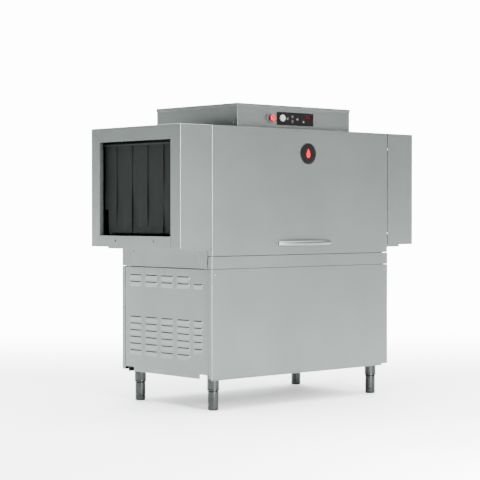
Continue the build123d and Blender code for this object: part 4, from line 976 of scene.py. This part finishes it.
@dataclass
class ControlPanel:
    """The controls on the box's front: membrane, keys, window, start button and emergency stop."""

    finishes: Finishes
    key: float = 7.0 * MM

    def membrane(self) -> list[Piece]:
        """The black membrane with its rounded edge, the printed key rings and the smoked window."""
        low, high = span("control_overlay")
        made = [dress(rounded_box("membrane", low, high, 0.6 * MM), self.finishes.black, "overlay_black",
                      "machine", "control_overlay")]
        front = low[1]
        marks = []
        for name, (x, z) in KEYS.items():
            marks.append(self.ring(name, x, z, front))
            marks.append(self.glyph(name, x, z, front))
        made.append(dress(joined("key_marks", marks), self.finishes.white, "slider_nylon", "machine"))
        (left, foot), (right, top) = WINDOW
        window = rounded_box("display_window", (left, front - 0.0004, foot), (right, front + 0.0006, top),
                             0.3 * MM)
        made.append(dress(window, self.finishes.window, "stop_red", "machine"))
        made.append(self.digits(front))
        return made

    def ring(self, name: str, x: float, z: float, front: float) -> Piece:
        """A printed ring round a key."""
        r = self.key
        return lathe(f"ring_{name}", [(r - 0.0008, 0.0), (r, 0.0), (r, 0.0003), (r - 0.0008, 0.0003),
                                      (r - 0.0008, 0.0)], (x, front + 0.0001, z), FORWARD, 28)

    def glyph(self, name: str, x: float, z: float, front: float) -> Piece:
        """A plain mark in a key: a square, a triangle either way up, a disc or a drop shape."""
        corners = KEY_CORNERS_DEG[name]
        angle = np.radians(corners)
        size = 0.0034 * np.where((name == "drain") & (np.array(corners) == 90), 1.4, 1.0)
        outline = np.stack([x + size * np.cos(angle), np.zeros(len(angle)), z + size * np.sin(angle)], 1)
        face = outline + np.array([0, front - 0.0002, 0])
        back = outline + np.array([0, front + 0.0001, 0])
        count = len(angle)
        index = np.arange(count)
        after = (index + 1) % count
        sides = np.stack([index, after, after + count, index + count], -1).tolist()
        return mesh_piece(f"glyph_{name}", np.concatenate([face, back]),
                          sides + [index.tolist(), (index[::-1] + count).tolist()])

    def digits(self, front: float) -> Piece:
        """Two seven-segment digits that show a temperature, as bars of rounded boxes."""
        bars = []
        for k, digit in enumerate("60"):
            for mark in SEGMENTS[digit]:
                across, up, level = SEGMENT_PLACES[mark]
                x = 0.084 + 0.014 * k + 0.0038 * across
                z = 1.5075 + 0.0037 * up
                half = (0.0030, 0.0006) if level else (0.0006, 0.0029)
                bars.append(rounded_box(f"bar_{k}{mark}", (x - half[0], front - 0.0006, z - half[1]),
                                        (x + half[0], front - 0.0002, z + half[1]), 0.00015, 1))
        return dress(joined("display_digits", bars), self.finishes.lamp, "stop_red", "machine")

    def start_button(self) -> Piece:
        """A dished push button: the cap's face falls towards its middle as a shallow bowl."""
        low, high = span("start_button")
        x, z, r = (low[0] + high[0]) / 2, (low[2] + high[2]) / 2, (high[2] - low[2]) / 2
        back = low[1] + 0.009
        bowl = r - 0.0038
        profile = [(0.0, -0.020), (0.0078, -0.020), (0.008, -0.0195), (0.008, 0.0), (r - 0.0006, 0.0),
                   (r, 0.0008), (r, 0.0068), (r - 0.0007, 0.0083), (r - 0.0022, 0.0089), (bowl, 0.0084)]
        profile += [(rr, 0.0084 - 0.0014 * (1 - (rr / bowl) ** 2)) for rr in np.linspace(r - 0.006, 0, 6)]
        return dress(lathe("start_button_cap", profile, (x, back, z), FORWARD, 56), self.finishes.grey,
                     "button_grey", "start_button", "start_button")

    def stop(self) -> list[Piece]:
        """The emergency stop: a dark collar, the stem and a mushroom head with finger flutes."""
        low, high = span("estop_head")
        x, z, r = (low[0] + high[0]) / 2, (low[2] + high[2]) / 2, (high[2] - low[2]) / 2
        steps = 72
        angle = np.linspace(0, 2 * np.pi, steps, endpoint=False)
        profile = [(0.0, 0.0), (r - 0.006, 0.0), (r - 0.004, 0.0008), (r - 0.0012, 0.0035),
                   (r - 0.0002, 0.006), (r, 0.0085), (r - 0.0008, 0.0115), (r - 0.003, 0.0138),
                   (r - 0.0065, 0.0152), (0.006, 0.016), (0.0, 0.016)]
        depth = np.array([0, 0, 0.2, 0.8, 1.0, 1.0, 0.7, 0.2, 0, 0, 0]) * 0.045
        wave = 1 - depth[:, None] * np.clip(np.cos(12 * angle), 0, 1)[None, :] ** 0.8
        head = lathe("estop_mushroom", profile, (x, high[1], z), FORWARD, steps, wave)
        c_low, c_high = span("estop_collar")
        rc = (c_high[2] - c_low[2]) / 2
        thick = c_high[1] - c_low[1]
        collar = lathe("estop_ring", [(0.0104, 0.0), (rc, 0.0), (rc, thick - 0.0012), (rc - 0.0012, thick),
                                      (0.0185, thick), (0.0175, thick - 0.0012), (0.0104, thick - 0.0012),
                                      (0.0104, 0.0)], (x, c_high[1], z), FORWARD, 64)
        s_low, s_high = span("estop_stem")
        length = s_high[1] - s_low[1]
        profile = [(0.0, 0.0), (0.0092, 0.0), (0.01, 0.0008), (0.01, length), (0.0, length)]
        stem = lathe("estop_plunger", profile, (x, s_high[1], z), FORWARD, 40)
        return [dress(head, self.finishes.red, "stop_red", "estop_head", "estop_head"),
                dress(collar, self.finishes.housing, "stop_yellow", "machine", "estop_collar"),
                dress(stem, self.finishes.housing, "stem_black", "estop_stem", "estop_stem")]


# ------------------------------------------------------------------------------ fixings and cables
@dataclass
class Screws:
    """Pan-head screws of the panels, each with a six-lobed recess."""

    finish: Material
    radius: float = 6 * MM
    height: float = 2.2 * MM

    def places(self) -> list[tuple[tuple[float, float, float], tuple[int, int, int]]]:
        """Where each screw sits on its panel, and the way its head points."""
        found = []
        for side in (-1, 1):
            found.append(((side * 0.618, -0.365, 0.688), FORWARD))
            for y, z in ((-0.313, 0.692), (-0.313, 0.260), (0.006, 0.692)):
                found.append(((side * 0.645, y, z), (side, 0, 0)))
            for y in (-0.274, 0.266):
                found.append(((side * 0.6465, y, 0.796), (side, 0, 0)))
            for z in (0.688, 0.250):
                found.append(((side * 0.618, 0.365, z), (0, 1, 0)))
            found.append(((side * 0.412, -0.265, 1.462), (side, 0, 0)))
        return found

    def build(self) -> Piece:
        """Turns each head: a flat rim, a round crown, and a recess whose radius waves six times round."""
        r, h = self.radius, self.height
        angle = np.linspace(0, 2 * np.pi, 24, endpoint=False)
        lobes = 1 + 0.22 * np.cos(6 * angle)
        profile = [(r, 0.0), (r, h * 0.35), (r * 0.88, h * 0.75), (r * 0.62, h * 0.97), (r * 0.40, h),
                   (r * 0.38, h * 0.45), (0.0, h * 0.4)]
        wave = np.array([[1.0] * 24] * 4 + [list(lobes)] * 2 + [[1.0] * 24])
        heads = [lathe(f"screw_{k}", profile, place, axis, 24, wave)
                 for k, (place, axis) in enumerate(self.places())]
        return dress(joined("screw_heads", heads), self.finish, "inner_steel", "machine", "panel_screws")


@dataclass
class LiftCables:
    """The wire ropes from the door over two pulleys each to the counterweight."""

    finish: Material
    radius: float = 1.5 * MM
    wheel: float = 22.8 * MM
    travel: float = 0.45
    still_z: float = 1.403

    def build(self) -> list[Piece]:
        """Lays each rope: a run down from the front pulley, a bend over both pulleys and a run down to the
        counterweight.
        """
        section = oval(self.radius, self.radius, 12)
        front_low, front_high = span("front_cables")
        rear_low, rear_high = span("rear_cables")
        _, front_y, pulley_z = sum(span("front_pulley_shaft")) / 2
        _, rear_y, _ = sum(span("rear_pulley_shaft")) / 2
        sideways, inward = np.array([1.0, 0, 0]), np.array([0, 1.0, 0])
        x_cable = front_high[0] - self.radius
        made = []
        for side in (-1, 1):
            name = "left" if side < 0 else "right"
            x = side * x_cable
            run = np.linspace(front_low[2], self.still_z, 24)
            path = np.stack([np.full(24, x), np.full(24, front_y - self.wheel), run], axis=1)
            front = swept(f"lift_cable_front_{name}", path, sideways, inward, section)
            t = np.linspace(0, np.pi / 2, 12)
            cosine, sine = self.wheel * np.cos(t), self.wheel * np.sin(t)
            over = [np.array([[x, front_y - self.wheel, self.still_z]]),
                    np.stack([np.full(12, x), front_y - cosine, pulley_z + sine], 1),
                    np.stack([np.full(12, x), rear_y + sine, pulley_z + cosine], 1)]
            bend_path = np.concatenate(over)
            ahead = np.gradient(bend_path, axis=0)
            ahead /= np.linalg.norm(ahead, axis=1, keepdims=True)
            outward = np.cross(sideways, ahead)
            bend = swept(f"lift_cable_top_{name}", bend_path, sideways, outward, section)
            run = np.linspace(pulley_z, rear_low[2], 24)
            path = np.stack([np.full(24, x), np.full(24, rear_y + self.wheel), run], axis=1)
            rear = swept(f"lift_cable_rear_{name}", path, sideways, inward, section)
            stands_for = ("front_cables", "rear_cables") if side < 0 else ()
            dress(bend, self.finish, "cable_steel", "machine", *stands_for)
            dress(front, self.finish, "cable_steel", "machine")
            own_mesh(front)
            rear.data.materials.append(self.finish)
            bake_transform(rear)
            made += [front, bend, rear]
        return made


# for each motor the jacket's name, start, axis, length and radius
JACKETS = (("pump_motor_fins", (-0.080, 0.200, 0.330), (1, 0, 0), 0.215, 0.0795),
           ("gear_motor_fins", (0.470, 0.072, 0.715), (0, 1, 0), 0.140, 0.0535))


@dataclass
class Motors:
    """The pump's and the conveyor's motors, with cooling fins cast along them."""

    finish: Material
    groove: float = 0.93

    def build(self) -> list[Piece]:
        """Adds a finned jacket over each motor: the radius is a square wave of 36 fins round the axis."""
        steps = 144
        teeth = np.where(np.arange(steps) % 4 < 2, 1.0, self.groove)
        made = []
        for name, start, axis, length, radius in JACKETS:
            low = radius * self.groove
            profile = [(low, 0.0), (radius, 0.002), (radius, length - 0.002), (low, length)]
            wave = np.stack([np.full(steps, 1.0), teeth, teeth, np.full(steps, 1.0)])
            jacket = lathe(name, profile, start, axis, steps, wave)
            made.append(dress(jacket, self.finish, "motor_paint", "machine"))
        return made


# ------------------------------------------------------------------------------ frame parts
@dataclass(frozen=True)
class Coating:
    """The finish of some frame parts, and the rounding that folding or casting gives their edges."""

    finish: str
    edge_mm: float
    nodes: tuple[str, ...]


COATINGS = (
    Coating("panel", 1.0, ("door_skin", "service_panel", "front_fascia", "rear_panel", "tunnel_casing",
                           "left_hood", "right_hood", "control_box", "control_box_lid", "counterweight")),
    Coating("upright", 0.8, ("door_surround",)),
    Coating("inner", 0.8, ("base_frame", "chamber_shell", "door_liner", "strainer_trays", "rack_rails",
                           "wash_tank", "booster_tank", "drag_bar")),
    Coating("fixing", 0.3, ("overflow_standpipe", "drain_pipe", "tank_heater", "wash_riser",
                            "upper_wash_arms", "lower_wash_arms", "rinse_arms", "front_pulley_shaft",
                            "rear_pulley_shaft", "panel_screws")),
    Coating("cast_steel", 0.8, ("pump_casing", "pump_rotor", "drive_crank", "pawl_1", "pawl_2", "pawl_3")),
    Coating("paint", 0.8, ("pump_motor", "drive_gearmotor")),
    Coating("brass", 0.5, ("rinse_valve",)),
    Coating("nylon", 0.6, ("door_sliders", "shaft_bearings")),
    Coating("rubber", 0.5, ("door_seal",)),
    Coating("housing", 0.5, ("electrics",)),
)


@dataclass
class FrameParts:
    """The frame's own parts, which keep their shape and get finishes and softened edges."""

    finishes: Finishes
    coatings: tuple[Coating, ...] = COATINGS

    def build(self) -> None:
        """Gives each part its finish, and each sharp edge a small round of two steps."""
        for coating in self.coatings:
            finish = getattr(self.finishes, coating.finish)
            for node in coating.nodes:
                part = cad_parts[node]
                part.data.materials.clear()
                part.data.materials.append(finish)
                part.data.polygons.foreach_set("use_smooth", np.ones(len(part.data.polygons), bool))
                weld = part.modifiers.new("weld", "WELD")
                weld.merge_threshold = 0.01 * MM
                edge = part.modifiers.new("edge", "BEVEL")
                edge.width = coating.edge_mm * MM
                edge.segments = 2
                edge.limit_method = "ANGLE"
                edge.angle_limit = math.radians(32)
                edge.harden_normals = True
                edge.use_clamp_overlap = True
                level_normals(part)
                LOG.info("%s: %s", node, finish.name)


# ------------------------------------------------------------------------------ studio
@dataclass
class Studio:
    """A pale floor, a soft bright room and the camera."""

    floor_reach: float = 30.0
    lens: float = 117.03
    place: Place = (-5.7446, -6.2621, 0.9978)
    yaw_deg: float = 41.89
    pitch_deg: float = -0.98
    room: float = 0.55
    ceiling: float = 8.0
    backdrop: float = 14.0
    sweep: float = 8.0
    shade: float = 0.35
    glow_reach: tuple[float, float] = (0.9, 5.0)
    overhead: tuple[float, float] = (0.25, 0.9)
    behind: tuple[float, float] = (0.8, 0.93)
    aside: tuple[float, float] = (-0.2, 0.8)
    box_place: Place = (-1.1, -3.6, 1.22)
    box_size: tuple[float, float] = (0.5, 2.4)
    box_watts: float = 440.0

    def build(self) -> None:
        """Lays the floor, lights the room and sets up the camera."""
        self.floor()
        self.light()
        self.camera()

    def floor(self) -> None:
        """A square of matt white floor that is lit up more and more towards the backdrop."""
        r = self.floor_reach
        corner = np.array([-r, r])
        xx, yy = np.meshgrid(corner, corner, indexing="ij")
        floor = grid_piece("studio_floor", np.stack([xx, yy, np.zeros_like(xx)], axis=-1), facing=(0, 0, 1))
        paint = Speckled("floor paint, matt white", "#F4F4F3", "#F7F7F7", roughness=0.75, spread=0.03,
                         grain_mm=5, cloud_mm=900, bump=0.02, depth_mm=0.1).make()
        shader = paint.node_tree.nodes["Principled BSDF"]
        spot = add_node(paint, "TexCoord").outputs["Object"]
        along = add_node(paint, "VectorMath", {"operation": "DOT_PRODUCT"}, {0: spot, 1: self.ahead()})
        glow = smooth_step(paint, along.outputs["Value"], *self.glow_reach, 0.0, self.sweep)
        paint.node_tree.links.new(glow, shader.inputs["Emission Strength"])
        floor.data.materials.append(paint)

    def ahead(self) -> tuple[float, float, float]:
        """The level direction from the camera towards the backdrop."""
        return (math.sin(math.radians(self.yaw_deg)), math.cos(math.radians(self.yaw_deg)), 0.0)

    def light(self) -> None:
        """A room that is pale all round, brighter overhead and brightest behind the machine.

        The brightness along a direction is room (1 - (1 - shade) s(left)) + ceiling s(up) + backdrop
        s(ahead): up is the direction's height, ahead its part along the view axis, left its part to the
        left of that axis, and s a smooth step. The tint turns a little greener to the left.
        """
        world = bpy.data.worlds.new("studio")
        world.use_nodes = True
        bpy.context.scene.world = world
        tree = world.node_tree
        way = add_node(world, "TexCoord").outputs["Generated"]
        parts = add_node(world, "SeparateXYZ", inputs={0: way})
        along = add_node(world, "VectorMath", {"operation": "DOT_PRODUCT"}, {0: way, 1: self.ahead()})
        up = smooth_step(world, parts.outputs["Z"], *self.overhead, 0.0, self.ceiling)
        back = smooth_step(world, along.outputs["Value"], *self.behind, 0.0, self.backdrop)
        left = (-self.ahead()[1], self.ahead()[0], 0.0)
        aside = add_node(world, "VectorMath", {"operation": "DOT_PRODUCT"}, {0: way, 1: left})
        leftness = aside.outputs["Value"]
        shade = smooth_step(world, leftness, *self.aside, self.room, self.room * self.shade)
        tint = smooth_step(world, leftness, *self.aside)
        colour = add_node(world, "Mix", {"data_type": "RGBA"}, {
            0: tint, 6: linear("#FCFCFC"), 7: linear("#EFFBF6")})
        lower = add_node(world, "Math", {"operation": "ADD"}, {0: up, 1: back})
        total = add_node(world, "Math", {"operation": "ADD"}, {0: lower.outputs[0], 1: shade})
        sky = tree.nodes["Background"]
        tree.links.new(colour.outputs[2], sky.inputs["Color"])
        tree.links.new(total.outputs[0], sky.inputs["Strength"])
        self.softbox("softbox_strip")

    def softbox(self, name: str) -> None:
        """An upright softbox that faces the machine and that only reflections and light show."""
        lamp = bpy.data.lights.new(name, "AREA")
        lamp.shape = "RECTANGLE"
        lamp.size, lamp.size_y = self.box_size
        lamp.energy = self.box_watts
        box = bpy.data.objects.new(name, lamp)
        box.location = self.box_place
        towards = Vector((0, 0, self.box_place[2])) - Vector(self.box_place)
        box.rotation_euler = towards.to_track_quat("-Z", "Y").to_euler()
        box.visible_camera = False
        bpy.context.scene.collection.objects.link(box)

    def camera(self) -> None:
        """The camera at its place, level but for a slight look down."""
        lens = bpy.data.cameras.new("view")
        lens.lens, lens.sensor_width = self.lens, 36.0
        lens.clip_end = 100.0
        camera = bpy.data.objects.new("view", lens)
        camera.location = self.place
        camera.rotation_euler = (math.radians(90 + self.pitch_deg), 0.0, -math.radians(self.yaw_deg))
        bpy.context.scene.collection.objects.link(camera)
        bpy.context.scene.camera = camera


def main() -> None:
    """Builds the machine's pieces in order."""
    logging.basicConfig(level=logging.INFO, format="%(name)s %(message)s")
    finishes = Finishes()
    FrameParts(finishes).build()
    for side, name in ((-1, "left"), (1, "right")):
        panel = LouvredPanel(side, name, finishes.upright)
        panel.build()
        # the louvre screen's dark gauze is painted shade seen through the slots
        panel.screen(finishes.gauze)
        panel.apron()
    Legs(finishes.chrome).build()
    StripCurtain(-1, "entry_curtain", finishes.curtain).build()
    StripCurtain(1, "exit_curtain", finishes.curtain).build()
    trim = DoorTrim(finishes.panel, finishes.chrome, finishes.black, finishes.red)
    trim.handle()
    trim.badge()
    panel = ControlPanel(finishes)
    panel.membrane()
    panel.start_button()
    panel.stop()
    Screws(finishes.fixing).build()
    LiftCables(finishes.rope).build()
    Motors(finishes.paint).build()
    Studio().build()


if __name__ == "__main__":
    main()
